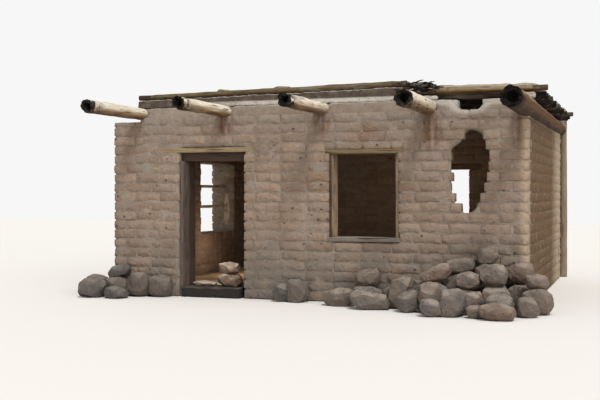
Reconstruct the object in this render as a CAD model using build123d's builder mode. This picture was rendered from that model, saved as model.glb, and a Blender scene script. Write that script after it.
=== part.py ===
"""Ruined one-room adobe house under a log-and-pole earth roof, in millimetres.

X runs to the right along the front wall, Y from the front to the back and Z up from the ground.
The origin is the centre of the walls' outline, on the ground under the packed-earth floor.
"""

import math
import os
from collections import namedtuple

from build123d import *

os.makedirs("parts", exist_ok=True)

# Walls, laid in courses of one adobe brick and its mud joint
course_height = 125
wall_courses = 20
house_width = 5500
house_depth = 4600
wall_thickness = 390
corner_wear = 60  # radius that weather has worn on the outside corners
top_wear_height = 120  # of the slope that rain has worn along the top of the front and back walls
top_wear_depth = 80
seat_gap = 0.3  # between pieces that rest on each other without being bonded

# Front doorway, its lintel and its timber frame, measured along the front from the left corner
door_from_left = 980
door_width = 920
door_height = 1900
door_lintel_thickness = 60
door_lintel_left_bearing = 310
door_lintel_right_bearing = 110
door_frame_thickness = 50
door_head_thickness = 110
door_head_setback = 60
door_left_jamb_setback = 10
door_right_jamb_setback = 140
threshold_height = 130
threshold_nose = 40
threshold_edge_radius = 12

# Front window, its lintel, sill and the side boards of its frame
window_from_left = 3050
window_width = 890
window_sill_top = 810
window_height = 1050
window_sill_thickness = 50
window_sill_bearing = 20
window_sill_nose = 15
window_lintel_thickness = 55
window_lintel_bearing = 55
window_frame_thickness = 35
window_frame_depth = 260
window_frame_setback = 10

# Window in the left wall, measured along it from the front corner
side_window_from_front = 1970
side_window_width = 1280
side_window_sill = 740
side_window_height = 1090
side_lintel_thickness = 80
side_lintel_bearing = 150
side_bar_size = 45
side_bar_heights = (1150, 1470)

# Doorway in the back wall, measured from the left corner
rear_door_from_left = 3200
rear_door_width = 900
rear_door_height = 1750
rear_lintel_thickness = 80
rear_lintel_bearing = 200

# Damage: a hole broken through the front wall, a notch in its top and a worn-down left corner.
# The hole and notch outlines are (distance from the right corner, height) pairs.
hole_outline = (
    (680, 2140),
    (540, 2070),
    (460, 1870),
    (450, 1690),
    (480, 1470),
    (530, 1330),
    (640, 1150),
    (750, 1110),
    (853, 1225),
    (906, 1400),
    (906, 1902),
    (790, 1980),
    (730, 2090),
)
notch_outline = ((925, 2520), (815, 2365), (595, 2358), (482, 2520))
hole_flare = 80  # by which the hole widens to the left on its way through the wall
left_wall_height = 2315

# Vigas: the logs that carry the roof, butt ends forward, tops level with the walls. The front and
# rear figures are where the axis crosses the walls' outer faces, measured from the left corner.
Viga = namedtuple("Viga", "name front rear butt_diameter tip_diameter front_reach rear_reach bow")
vigas = (
    Viga("viga_1", 404, 415, 160, 140, 1360, 380, 14),
    Viga("viga_2", 1623, 1605, 156, 134, 1375, 350, -26),
    Viga("viga_3", 2952, 2970, 160, 142, 1350, 400, 30),
    Viga("viga_4", 4312, 4296, 195, 168, 1365, 360, -22),
    Viga("viga_5", 5473, 5469, 240, 205, 1340, 150, 0),
)
viga_sides = 18  # hewn flats round each log, one of them on top
viga_bow_steps = 4
heart_rot_share = 0.56  # of the butt's diameter that has rotted hollow
heart_rot_depth = 130

# Latillas: the poles laid across the vigas
latilla_butt_diameter = 86
latilla_tip_diameter = 68
latilla_pitch = 106
pole_sides = 10
roof_left_reach = 85  # past the first viga's axis
roof_right_reach = 150  # past the right wall
latilla_end_scatter = 45

# Roof edge: bands of mud on the wall tops with edge poles on them, and the earth between
mud_band_setback = 90
mud_band_width = 100
mud_band_left_height = 105
mud_band_right_height = 170
mud_band_length = 3660  # of the band under each long pole
low_band_height = 60  # under each short pole
clod_width = 180
long_pole_tip_diameter = 74
long_pole_butt_diameter = 84
long_pole_overhang = 30  # past the end of its band
short_pole_from_left = 4290
short_pole_butt_diameter = 105
short_pole_tip_diameter = 96
short_pole_right_reach = 210
earth_depth = 115
earth_shoulder_drop = 30
earth_shoulder_inset = 60
earth_top_inset = 220
earth_edge_scatter = 22

# Floor and the post behind the last viga's tail
floor_thickness = 120
post_diameter = 130
post_height = 2700
post_offset = 65  # to the right of the viga's axis

# Stones: position from the left corner, distance of the middle in front of the front wall's face,
# base height, then length, depth, height, turn to the left and tilt up at the right in degrees
Stone = namedtuple("Stone", "from_left forward base length depth height turn tilt")
bank_stones = (
    Stone(3600, 133, 0, 390, 300, 250, 6, 0),
    Stone(3930, 168, 0, 340, 310, 270, -8, 8),
    Stone(4300, 141, 0, 420, 330, 340, 4, 0),
    Stone(4740, 154, 0, 450, 360, 430, -5, 0),
    Stone(5085, 169, 0, 350, 360, 340, 8, 0),
    Stone(5425, 170, 0, 360, 350, 330, -10, 0),
    Stone(3310, 350, 0, 430, 290, 235, -14, 16),
    Stone(4070, 410, 0, 330, 300, 400, 10, -12),
    Stone(4440, 450, 0, 390, 330, 350, -6, 0),
    Stone(4830, 470, 0, 330, 290, 280, 12, 0),
    Stone(5200, 490, 0, 350, 350, 330, 5, 0),
    Stone(5640, 470, 0, 350, 340, 310, -14, 0),
    Stone(3740, 570, 0, 470, 330, 225, 8, -6),
    Stone(4220, 725, 0, 300, 290, 250, 35, 22),
    Stone(4520, 765, 0, 260, 290, 370, -10, 5),
    Stone(4930, 750, 0, 320, 290, 270, 18, 0),
    Stone(5290, 835, 0, 340, 340, 270, -12, 8),
    Stone(4545, 1035, 0, 250, 260, 205, 12, 0),
    Stone(4800, 985, 0, 300, 300, 330, -8, 6),
    Stone(5040, 1025, 0, 220, 230, 150, 20, 0),
    Stone(5280, 1135, 0, 400, 290, 190, 4, 0),
    Stone(5560, 780, 0, 250, 260, 240, 25, 0),
    Stone(3600, 140, 225, 330, 260, 225, -12, 6),
    Stone(4490, 400, 322, 400, 270, 205, -10, 20),
    Stone(4720, 150, 405, 380, 290, 200, 4, 0),
    Stone(4890, 470, 260, 290, 280, 210, -8, -8),
    Stone(5060, 144, 315, 340, 300, 240, 10, 0),
    Stone(5190, 450, 305, 300, 290, 260, -15, 10),
    Stone(5420, 155, 305, 310, 290, 270, 6, 0),
    Stone(5640, 445, 285, 270, 270, 175, 16, 0),
    Stone(5055, 126, 535, 270, 240, 215, 14, 12),
)
corner_stones = (
    Stone(-130, 157, 0, 340, 350, 290, 8, 0),
    Stone(145, 164, 0, 340, 330, 270, -6, 0),
    Stone(450, 158, 0, 330, 320, 345, 5, -8),
    Stone(745, 128, 0, 330, 270, 300, 0, 10),
    Stone(-45, 455, 0, 370, 320, 265, 12, -6),
    Stone(290, 445, 0, 290, 300, 160, -9, 0),
    Stone(140, 119, 235, 310, 270, 180, 10, 12),
)
door_side_stones = (
    Stone(2470, 120, 0, 250, 260, 240, 10, 0),
    Stone(2690, 127, 0, 290, 270, 310, -8, 10),
)
doorway_stones = (
    Stone(1590, -270, threshold_height, 330, 250, 185, 8, 0),
    Stone(1235, -290, threshold_height, 340, 230, 60, -6, 0),
    Stone(1580, -270, threshold_height + 165, 290, 230, 165, -12, 4),
)
roof_stones = (
    Stone(1420, -470, 0, 200, 160, 60, 10, 0),
    Stone(2290, -430, 0, 260, 190, 75, -8, 0),
    Stone(2620, -520, 0, 170, 140, 50, 20, 0),
    Stone(3890, -420, 0, 230, 180, 80, -16, 0),
    Stone(4110, -460, 0, 190, 170, 65, 12, 0),
)
stone_corner_count = 24
stone_lumpiness = 0.13
stone_squareness = 4  # 2 is an ellipsoid, and a box is infinite
stone_bedding = 0.06  # share of its height by which a stone's rounded underside is cut flat

# Places worked out from the sizes above
wall_height = wall_courses * course_height
left_face = -house_width / 2
right_face = house_width / 2
front_face = -house_depth / 2
rear_face = house_depth / 2
inner_left = left_face + wall_thickness
inner_right = right_face - wall_thickness
inner_front = front_face + wall_thickness
inner_rear = rear_face - wall_thickness
front_wall_middle = front_face + wall_thickness / 2
rear_wall_middle = rear_face - wall_thickness / 2
door_left = left_face + door_from_left
door_middle = door_left + door_width / 2
window_left = left_face + window_from_left
window_middle = window_left + window_width / 2
window_top = window_sill_top + window_height
side_window_middle = front_face + side_window_from_front + side_window_width / 2
side_window_top = side_window_sill + side_window_height
rear_door_middle = left_face + rear_door_from_left + rear_door_width / 2
pole_bed = wall_height + seat_gap
earth_base = pole_bed + latilla_butt_diameter + seat_gap
roof_left = left_face + vigas[0].front - roof_left_reach
roof_right = right_face + roof_right_reach
band_front = front_face + mud_band_setback
band_rear = band_front + mud_band_width


def finish(builder, name):
    """Labels a finished piece and writes it to its own file."""
    builder.part.label = name
    export_step(builder.part, f"parts/{name}.step")


def worn_top(face):
    """The wedge that rain has worn off the outer top edge of the front or the back wall."""
    inward = -math.copysign(1, face)
    with BuildPart() as wedge:
        with BuildSketch(Plane.YZ.offset(left_face)):
            with BuildLine():
                Polyline(
                    (face, wall_height),
                    (face, wall_height - top_wear_height),
                    (face + inward * top_wear_depth, wall_height),
                    close=True,
                )
            make_face()
        extrude(amount=house_width)
    return wedge.part


def viga_stations(viga):
    """Distances along the house where a viga's section is drawn, from its butt to its tip."""
    span = inner_rear - inner_front
    bends = [inner_front + span * step / viga_bow_steps for step in range(viga_bow_steps + 1)]
    return [front_face - viga.front_reach, front_face, *bends, rear_face, rear_face + viga.rear_reach]


def viga_middle(viga, y):
    """Where a viga's axis is at a distance along the house, and the log's radius there."""
    butt_y, tip_y = viga_stations(viga)[0], viga_stations(viga)[-1]
    radius = viga.butt_diameter / 2
    radius += (viga.tip_diameter - viga.butt_diameter) / 2 * (y - butt_y) / (tip_y - butt_y)
    share = (y - front_face) / house_depth
    bow = viga.bow * math.sin(math.pi * share) if 0 < share < 1 else 0
    return left_face + viga.front + (viga.rear - viga.front) * share + bow, wall_height - radius, radius


def viga_pocket(viga):
    """The room that a viga takes in the walls, open to the wall top so the log can be laid in."""
    with BuildPart() as pocket:
        for y in viga_stations(viga):
            x, z, radius = viga_middle(viga, y)
            half_width = (radius + seat_gap) / math.cos(math.pi / viga_sides)
            with BuildSketch(Plane.XZ.offset(-y)):
                with Locations((x, z)):
                    RegularPolygon(radius + seat_gap, viga_sides, major_radius=False)
                    Rectangle(2 * half_width, 2 * radius, align=(Align.CENTER, Align.MIN))
        loft(ruled=True)
    return pocket.part


def stone_corners(stone, growth=0.0):
    """Corners of a weathered stone: a lumpy rounded block, flat underneath and against the wall."""
    middle_x = left_face + stone.from_left
    middle_y = front_face - stone.forward
    outside = stone.forward > 0
    golden_angle = math.pi * (3 - math.sqrt(5))
    turn, tilt = math.radians(stone.turn), math.radians(stone.tilt)
    corners = []
    for count in range(stone_corner_count):
        up = 1 - 2 * (count + 0.5) / stone_corner_count
        reach = math.sqrt(1 - up * up)
        angle = golden_angle * count + stone.length + stone.base
        across, deep = math.cos(angle) * reach, math.sin(angle) * reach
        powers = [abs(part) ** stone_squareness for part in (across, deep, up)]
        lump = sum(powers) ** (-1 / stone_squareness)
        lump *= 1 + stone_lumpiness * math.sin(2.3 * count + stone.depth)
        x = across * lump * (stone.length / 2 + growth)
        y = deep * lump * (stone.depth / 2 + growth)
        z = up * lump * (stone.height / 2 + growth)
        x, z = x * math.cos(tilt) - z * math.sin(tilt), x * math.sin(tilt) + z * math.cos(tilt)
        world_x = middle_x + x * math.cos(turn) - y * math.sin(turn)
        world_y = middle_y + x * math.sin(turn) + y * math.cos(turn)
        if outside:
            world_y = min(world_y, front_face - seat_gap + growth)
        world_z = max(stone.base + stone.height * (0.5 - stone_bedding) + z, stone.base - growth)
        corners.append((world_x, world_y, world_z))
    return corners


def are_near(stone, other):
    """Whether two stones are close enough to meet."""
    apart = math.hypot(stone.from_left - other.from_left, stone.forward - other.forward)
    return apart < (stone.length + stone.depth + other.length + other.depth) / 2


def lay_stones(stones, name):
    """Lays stones in order, each bedded against the ones before it, and writes them as one node."""
    rocks = []
    for count, stone in enumerate(stones):
        with BuildPart() as rock:
            ConvexPolyhedron(stone_corners(stone))
            for earlier in stones[:count]:
                if are_near(stone, earlier):
                    ConvexPolyhedron(stone_corners(earlier, seat_gap), mode=Mode.SUBTRACT)
        rocks.append(rock.part.solids().sort_by(SortBy.VOLUME)[-1])
    with BuildPart() as pile:
        for rock in rocks:
            add(rock)
    finish(pile, name)


def level_board(name, middle, size):
    """A squared board or beam, given its middle and its size along X, Y and Z."""
    with BuildPart() as board:
        with Locations(middle):
            Box(*size)
    finish(board, name)


pockets = [viga_pocket(viga) for viga in vigas]

# Front wall: doorway, window, lintel and sill beds, the broken hole and notch, and viga pockets
with BuildPart() as front_wall:
    with Locations((0, front_wall_middle, 0)):
        Box(
            house_width,
            wall_thickness,
            wall_height,
            align=(Align.CENTER, Align.CENTER, Align.MIN),
        )
    fillet(front_wall.edges().filter_by(Axis.Z).group_by(Axis.Y)[0], corner_wear)
    with BuildSketch(Plane.XZ.offset(-inner_front)):
        with Locations((door_middle, 0)):
            Rectangle(door_width, door_height, align=(Align.CENTER, Align.MIN))
        with Locations((door_left - door_lintel_left_bearing, door_height)):
            Rectangle(
                door_lintel_left_bearing + door_width + door_lintel_right_bearing,
                door_lintel_thickness,
                align=(Align.MIN, Align.MIN),
            )
        with Locations((window_middle, window_sill_top)):
            Rectangle(window_width, window_height, align=(Align.CENTER, Align.MIN))
        with Locations((window_middle, window_top)):
            Rectangle(
                window_width + 2 * window_lintel_bearing,
                window_lintel_thickness,
                align=(Align.CENTER, Align.MIN),
            )
        with Locations((window_middle, window_sill_top)):
            Rectangle(
                window_width + 2 * window_sill_bearing,
                window_sill_thickness,
                align=(Align.CENTER, Align.MAX),
            )
        with Locations((left_face, left_wall_height)):
            Rectangle(vigas[0].front, wall_height, align=(Align.MIN, Align.MIN))
    extrude(amount=wall_thickness, mode=Mode.SUBTRACT)
    for outline, flare in ((hole_outline, 0), (hole_outline, hole_flare), (notch_outline, 0)):
        with BuildSketch(Plane.XZ.offset(-front_face)):
            with BuildLine():
                Polyline([(right_face - from_right, z) for from_right, z in outline], close=True)
            make_face()
        inward = Vector(-flare, wall_thickness, 0)
        extrude(amount=inward.length, dir=inward, mode=Mode.SUBTRACT)
    for hollow in (worn_top(front_face), *pockets):
        add(hollow, mode=Mode.SUBTRACT)
finish(front_wall, "front_wall")

# Back wall: doorway, lintel bed, worn left corner and viga pockets
with BuildPart() as back_wall:
    with Locations((0, rear_wall_middle, 0)):
        Box(
            house_width,
            wall_thickness,
            wall_height,
            align=(Align.CENTER, Align.CENTER, Align.MIN),
        )
    fillet(back_wall.edges().filter_by(Axis.Z).group_by(Axis.Y)[-1], corner_wear)
    with BuildSketch(Plane.XZ.offset(-rear_face)):
        with Locations((rear_door_middle, 0)):
            Rectangle(rear_door_width, rear_door_height, align=(Align.CENTER, Align.MIN))
        with Locations((rear_door_middle, rear_door_height)):
            Rectangle(
                rear_door_width + 2 * rear_lintel_bearing,
                rear_lintel_thickness,
                align=(Align.CENTER, Align.MIN),
            )
        with Locations((left_face, left_wall_height)):
            Rectangle(vigas[0].rear, wall_height, align=(Align.MIN, Align.MIN))
    extrude(amount=wall_thickness, mode=Mode.SUBTRACT)
    for hollow in (worn_top(rear_face), *pockets):
        add(hollow, mode=Mode.SUBTRACT)
finish(back_wall, "back_wall")

# Left wall, worn down below the first viga, with its window
with BuildPart() as left_wall:
    with Locations((inner_left - wall_thickness / 2, 0, 0)):
        Box(
            wall_thickness,
            house_depth - 2 * wall_thickness,
            left_wall_height,
            align=(Align.CENTER, Align.CENTER, Align.MIN),
        )
    with BuildSketch(Plane.YZ.offset(left_face)):
        with Locations((side_window_middle, side_window_sill)):
            Rectangle(side_window_width, side_window_height, align=(Align.CENTER, Align.MIN))
        with Locations((side_window_middle, side_window_top)):
            Rectangle(
                side_window_width + 2 * side_lintel_bearing,
                side_lintel_thickness,
                align=(Align.CENTER, Align.MIN),
            )
    extrude(amount=wall_thickness, mode=Mode.SUBTRACT)
finish(left_wall, "left_wall")

# Right wall, with the last viga bedded along its top
with BuildPart() as right_wall:
    with Locations((inner_right + wall_thickness / 2, 0, 0)):
        Box(
            wall_thickness,
            house_depth - 2 * wall_thickness,
            wall_height,
            align=(Align.CENTER, Align.CENTER, Align.MIN),
        )
    add(pockets[-1], mode=Mode.SUBTRACT)
finish(right_wall, "right_wall")

# Packed-earth floor, which runs out through the rear doorway
with BuildPart() as packed_earth_floor:
    with BuildSketch():
        Rectangle(inner_right - inner_left, inner_rear - inner_front)
        with Locations((rear_door_middle, inner_rear)):
            Rectangle(rear_door_width, wall_thickness, align=(Align.CENTER, Align.MIN))
    extrude(amount=floor_thickness)
finish(packed_earth_floor, "packed_earth_floor")

# Threshold stone between the door jambs, with a worn nose
with BuildPart() as threshold_stone:
    with Locations((door_middle, inner_front, 0)):
        Box(
            door_width - 2 * door_frame_thickness,
            wall_thickness + threshold_nose,
            threshold_height,
            align=(Align.CENTER, Align.MAX, Align.MIN),
        )
    nose_edge = threshold_stone.edges().filter_by(Axis.X).group_by(Axis.Z)[-1].sort_by(Axis.Y)[0]
    fillet(nose_edge, threshold_edge_radius)
finish(threshold_stone, "threshold_stone")

# Timber of the front doorway: lintel through the wall, then head and jambs lining the reveal
door_lintel_length = door_lintel_left_bearing + door_width + door_lintel_right_bearing
door_jamb_height = door_height - door_head_thickness
level_board(
    "door_lintel",
    (
        door_left - door_lintel_left_bearing + door_lintel_length / 2,
        front_wall_middle,
        door_height + door_lintel_thickness / 2,
    ),
    (door_lintel_length, wall_thickness, door_lintel_thickness),
)
level_board(
    "door_head",
    (
        door_middle,
        (front_face + door_head_setback + inner_front) / 2,
        door_height - door_head_thickness / 2,
    ),
    (door_width, wall_thickness - door_head_setback, door_head_thickness),
)
for side, name, setback in (
    (-1, "door_jamb_left", door_left_jamb_setback),
    (1, "door_jamb_right", door_right_jamb_setback),
):
    level_board(
        name,
        (
            door_middle + side * (door_width - door_frame_thickness) / 2,
            (front_face + setback + inner_front) / 2,
            door_jamb_height / 2,
        ),
        (door_frame_thickness, wall_thickness - setback, door_jamb_height),
    )

# Timber of the front window
window_frame_middle = front_face + window_frame_setback + window_frame_depth / 2
level_board(
    "window_lintel",
    (window_middle, front_wall_middle, window_top + window_lintel_thickness / 2),
    (window_width + 2 * window_lintel_bearing, wall_thickness, window_lintel_thickness),
)
level_board(
    "window_sill",
    (
        window_middle,
        front_wall_middle - window_sill_nose / 2,
        window_sill_top - window_sill_thickness / 2,
    ),
    (
        window_width + 2 * window_sill_bearing,
        wall_thickness + window_sill_nose,
        window_sill_thickness,
    ),
)
for side, name in ((-1, "window_jamb_left"), (1, "window_jamb_right")):
    level_board(
        name,
        (
            window_middle + side * (window_width - window_frame_thickness) / 2,
            window_frame_middle,
            window_sill_top + window_height / 2,
        ),
        (window_frame_thickness, window_frame_depth, window_height),
    )

# Left window: lintel, and two bars across the opening
level_board(
    "left_window_lintel",
    (
        inner_left - wall_thickness / 2,
        side_window_middle,
        side_window_top + side_lintel_thickness / 2,
    ),
    (wall_thickness, side_window_width + 2 * side_lintel_bearing, side_lintel_thickness),
)
with BuildPart() as left_window_bars:
    for bar_height in side_bar_heights:
        with Locations((inner_left - wall_thickness / 2, side_window_middle, bar_height)):
            Box(side_bar_size, side_window_width, side_bar_size)
finish(left_window_bars, "left_window_bars")

# Lintel of the rear doorway
level_board(
    "rear_door_lintel",
    (rear_door_middle, rear_wall_middle, rear_door_height + rear_lintel_thickness / 2),
    (rear_door_width + 2 * rear_lintel_bearing, wall_thickness, rear_lintel_thickness),
)

# Vigas, each bowed a little and tapering from its butt, whose heart has rotted out
for viga in vigas:
    with BuildPart() as log:
        for y in viga_stations(viga):
            x, z, radius = viga_middle(viga, y)
            with BuildSketch(Plane.XZ.offset(-y)):
                with Locations((x, z)):
                    RegularPolygon(radius, viga_sides, major_radius=False)
        loft(ruled=True)
        butt_y = viga_stations(viga)[0]
        for y, share in ((butt_y, 1), (butt_y + heart_rot_depth, 0.5)):
            x, z, radius = viga_middle(viga, y)
            with BuildSketch(Plane.XZ.offset(-y)):
                with Locations((x, z)):
                    RegularPolygon(radius * heart_rot_share * share, pole_sides)
        loft(ruled=True, mode=Mode.SUBTRACT)
    finish(log, viga.name)


def pole(start, end, y):
    """A tapered pole along X between two ends, each of them an X, the bed's height and a diameter."""
    ends = []
    for x, bed, diameter in (start, end):
        with BuildSketch(Plane.YZ.offset(x)) as outline:
            with Locations((y, bed + diameter / 2)):
                RegularPolygon(diameter / 2, pole_sides, major_radius=False)
        ends.append(outline.sketch)
    return loft(ends, ruled=True, mode=Mode.PRIVATE)


# Latillas: butts and tips turned about in alternate rows, with ragged ends
pole_spread = 1 / math.cos(math.pi / pole_sides)  # corners stand out past the flats
latilla_front = band_rear + seat_gap + latilla_butt_diameter / 2 * pole_spread
latilla_rows = 1 + int(-2 * latilla_front // latilla_pitch)
latilla_step = -2 * latilla_front / (latilla_rows - 1)
latilla_poles = []
for row in range(latilla_rows):
    left_end = roof_left + latilla_end_scatter * math.sin(2.1 * row)
    right_end = roof_right + latilla_end_scatter * math.sin(3.7 * row + 1)
    thick, thin = latilla_butt_diameter, latilla_tip_diameter
    if row % 2:
        thick, thin = thin, thick
    row_y = latilla_front + row * latilla_step
    latilla_poles.append(pole((left_end, pole_bed, thick), (right_end, pole_bed, thin), row_y))
with BuildPart() as latillas:
    add(latilla_poles)
finish(latillas, "latillas")

# Mud bands along the front and rear wall tops. Under the long poles they rise to the right. Under
# the short poles the rear band is whole, and the front one has fallen away but for two clods.
band_end = roof_left + mud_band_length
band_slope = (mud_band_right_height - mud_band_left_height) / mud_band_length
clods = [(left_face + viga.front, clod_width) for viga in vigas[-2:]]
low_band_end = left_face + vigas[-1].front + clod_width / 2
low_band = [((band_end + low_band_end) / 2, low_band_end - band_end)]
for name, band_start, low_parts in (
    ("front_mud_band", band_front, clods),
    ("rear_mud_band", -band_rear, low_band),
):
    with BuildPart() as mud_band:
        with BuildSketch(Plane.XZ.offset(-band_start)):
            with BuildLine():
                Polyline(
                    (roof_left, wall_height),
                    (band_end, wall_height),
                    (band_end, wall_height + mud_band_right_height),
                    (roof_left, wall_height + mud_band_left_height),
                    close=True,
                )
            make_face()
            for middle, length in low_parts:
                with Locations((middle, wall_height)):
                    Rectangle(length, low_band_height, align=(Align.CENTER, Align.MIN))
        extrude(amount=-mud_band_width)
    finish(mud_band, name)

# Edge poles on the mud bands, a long and a short one on each side
long_pole_end = band_end + long_pole_overhang
long_pole_bed = wall_height + mud_band_left_height + seat_gap
short_pole_bed = wall_height + low_band_height + seat_gap
edge_pole_line = band_front + short_pole_butt_diameter / 2 * pole_spread
for side, place in ((1, "front"), (-1, "rear")):
    line = side * edge_pole_line
    with BuildPart() as long_pole:
        end_bed = long_pole_bed + band_slope * (long_pole_end - roof_left)
        tip = (roof_left, long_pole_bed, long_pole_tip_diameter)
        add(pole(tip, (long_pole_end, end_bed, long_pole_butt_diameter), line))
    finish(long_pole, f"{place}_edge_pole_left")
    with BuildPart() as short_pole:
        butt = (left_face + short_pole_from_left, short_pole_bed, short_pole_butt_diameter)
        tip = (right_face + short_pole_right_reach, short_pole_bed, short_pole_tip_diameter)
        add(pole(butt, tip, line))
    finish(short_pole, f"{place}_edge_pole_right")


def earth_outline(inset):
    """Corners of the roof earth's outline, straight behind the edge poles, ragged at the ends."""
    front = edge_pole_line + short_pole_butt_diameter / 2 * pole_spread + seat_gap + inset
    steps = 8
    corners = []
    for count in range(steps + 1):
        scatter = earth_edge_scatter * math.sin(2.9 * count)
        corners.append((roof_right - inset + scatter, front - 2 * front * count / steps))
    for count in range(steps + 1):
        scatter = earth_edge_scatter * math.sin(1.7 * count + 2)
        corners.append((roof_left + inset + scatter, -front + 2 * front * count / steps))
    return corners


# Earth on the poles, with sloping worn shoulders
with BuildPart() as roof_earth:
    for inset, height in (
        (0, 0),
        (earth_shoulder_inset, earth_depth - earth_shoulder_drop),
        (earth_top_inset, earth_depth),
    ):
        with BuildSketch(Plane.XY.offset(earth_base + height)):
            with BuildLine():
                Polyline(earth_outline(inset), close=True)
            make_face()
    loft(ruled=True)
finish(roof_earth, "roof_earth")

# Post behind the last viga's tail, outside the rear right corner
tail_y = rear_face + vigas[-1].rear_reach
tail_x, _, _ = viga_middle(vigas[-1], tail_y)
post_x = tail_x + post_offset
with BuildPart() as rear_corner_post:
    with Locations((post_x, tail_y + seat_gap + post_diameter / 2, 0)):
        Cylinder(post_diameter / 2, post_height, align=(Align.CENTER, Align.CENTER, Align.MIN))
finish(rear_corner_post, "rear_corner_post")

# Stones
lay_stones(bank_stones, "front_stone_bank")
lay_stones(corner_stones, "left_corner_rubble")
lay_stones(door_side_stones, "door_side_stone")
lay_stones(doorway_stones, "doorway_stones")
earth_top = earth_base + earth_depth + seat_gap
lay_stones([stone._replace(base=earth_top) for stone in roof_stones], "roof_stones")
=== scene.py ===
"""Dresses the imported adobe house: mud bricks, logs, poles, roof earth, old boards and field stones.

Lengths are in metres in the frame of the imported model: X runs right along the front, Y runs to the
back and Z runs up from the ground.
"""

import logging
import math
import random
from dataclasses import dataclass, field, replace
from enum import Enum
from typing import Callable, Iterator

import bmesh
import bpy
from mathutils import Matrix, Vector


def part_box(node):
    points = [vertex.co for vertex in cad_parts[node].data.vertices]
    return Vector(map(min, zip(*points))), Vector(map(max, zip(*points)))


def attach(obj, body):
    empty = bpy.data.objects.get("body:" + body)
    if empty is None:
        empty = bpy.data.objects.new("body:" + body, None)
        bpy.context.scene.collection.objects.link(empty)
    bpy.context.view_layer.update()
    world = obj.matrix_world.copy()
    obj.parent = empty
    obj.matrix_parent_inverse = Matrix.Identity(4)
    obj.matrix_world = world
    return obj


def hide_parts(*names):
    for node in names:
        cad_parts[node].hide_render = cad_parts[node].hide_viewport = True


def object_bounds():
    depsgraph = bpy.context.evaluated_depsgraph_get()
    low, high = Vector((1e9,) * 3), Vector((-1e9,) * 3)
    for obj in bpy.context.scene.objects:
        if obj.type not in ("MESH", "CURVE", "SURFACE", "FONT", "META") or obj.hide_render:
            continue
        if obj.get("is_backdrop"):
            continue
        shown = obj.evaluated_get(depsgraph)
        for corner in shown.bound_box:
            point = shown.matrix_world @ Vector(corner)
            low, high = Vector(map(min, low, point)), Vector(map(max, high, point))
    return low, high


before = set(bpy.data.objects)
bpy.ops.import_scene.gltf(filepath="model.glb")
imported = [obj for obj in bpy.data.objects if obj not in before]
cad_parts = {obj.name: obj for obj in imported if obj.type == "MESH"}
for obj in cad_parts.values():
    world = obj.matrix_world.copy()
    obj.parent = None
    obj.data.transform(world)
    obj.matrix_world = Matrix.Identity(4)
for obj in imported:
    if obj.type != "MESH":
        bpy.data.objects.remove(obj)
cad_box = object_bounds()
log = logging.getLogger("adobe_house")

Object = bpy.types.Object
Mesh = bpy.types.Mesh
Material = bpy.types.Material
World = bpy.types.World
Socket = bpy.types.NodeSocket
Box = tuple[Vector, Vector]


class Slot(Enum):
    """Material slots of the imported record."""

    ADOBE = "adobe"
    EARTH = "earth"
    LOG = "log"
    POLE = "roof_pole"
    TIMBER = "weathered_timber"
    STONE = "field_stone"


class Grain(Enum):
    """The axis that a piece of wood was cut along."""

    X = 0
    Y = 1
    Z = 2

    def stretch(self, times: float) -> tuple[float, float, float]:
        """How much longer a pattern is along X, Y and Z.

        Args:
            times: How much longer it is along the grain.

        Returns:
            The three factors, which are 1 across the grain.
        """
        factors = [1.0, 1.0, 1.0]
        factors[self.value] = times
        return factors[0], factors[1], factors[2]


# Directions, half the width and depth of the walls' outline, and the walls' height.
UP = (0.0, 0.0, 1.0)
RIGHTWARD = (1.0, 0.0, 0.0)
FORWARD = (0.0, -1.0, 0.0)
REARWARD = (0.0, 1.0, 0.0)
HALF_WIDTH = 2.75
HALF_DEPTH = 2.3
WALL_TOP = 2.5

# A metre in millimetres, in which the finishes give their patterns' sizes.
METRE = 1000

# The middle of the notch in the front wall's top.
NOTCH_MIDDLE = (2.045, -2.3, 2.46)

# Painted sunlight on the rear reveal of the left window: its middle, and its reach along X, Y and Z.
SUNLIT_PATCH = ((-2.49, 0.95, 1.08), (0.055, 0.25, 0.27))

# Where rain off the last four logs runs down the front wall: middles and reaches.
RAIN_RUNS = (
    ((-1.12, -2.3, 2.24), (0.15, 0.3, 0.20)),
    ((0.21, -2.3, 2.24), (0.15, 0.3, 0.20)),
    ((1.60, -2.3, 2.16), (0.16, 0.3, 0.36)),
    ((2.72, -2.3, 2.12), (0.20, 0.3, 0.42)),
)


def select_only(*pieces: Object) -> None:
    """Leaves edit mode, then selects these pieces alone and makes the first one active.

    Args:
        pieces: The pieces to select.
    """
    if bpy.context.object and bpy.context.object.mode != "OBJECT":
        bpy.ops.object.mode_set(mode="OBJECT")
    bpy.ops.object.select_all(action="DESELECT")
    for piece in pieces:
        piece.select_set(True)
    if pieces:
        bpy.context.view_layer.objects.active = pieces[0]


def open_mesh(piece: Object) -> None:
    """Puts a piece in edit mode with nothing selected.

    Args:
        piece: The piece to edit.
    """
    select_only(piece)
    bpy.ops.object.mode_set(mode="EDIT")
    bpy.ops.mesh.select_mode(type="FACE")
    bpy.ops.mesh.select_all(action="DESELECT")


def pick_faces(piece: Object, test: Callable[[Vector], bool]) -> None:
    """Selects the faces of the open mesh whose middles pass a test, and no others.

    Args:
        piece: The piece in edit mode.
        test: Takes a face's middle.
    """
    bpy.ops.mesh.select_mode(type="FACE")
    bpy.ops.mesh.select_all(action="DESELECT")
    mesh = bmesh.from_edit_mesh(piece.data)
    for face in mesh.faces:
        face.select_set(test(face.calc_center_median()))
    bmesh.update_edit_mesh(piece.data)


def cut_across(axis: Grain, places: list[float]) -> None:
    """Cuts the open mesh through and through, square to an axis.

    Args:
        axis: The axis that the cuts are square to.
        places: Where along the axis the cuts go.
    """
    across = [0.0, 0.0, 0.0]
    across[axis.value] = 1.0
    for place in places:
        bpy.ops.mesh.select_all(action="SELECT")
        bpy.ops.mesh.bisect(plane_co=[place * part for part in across], plane_no=across)


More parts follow.
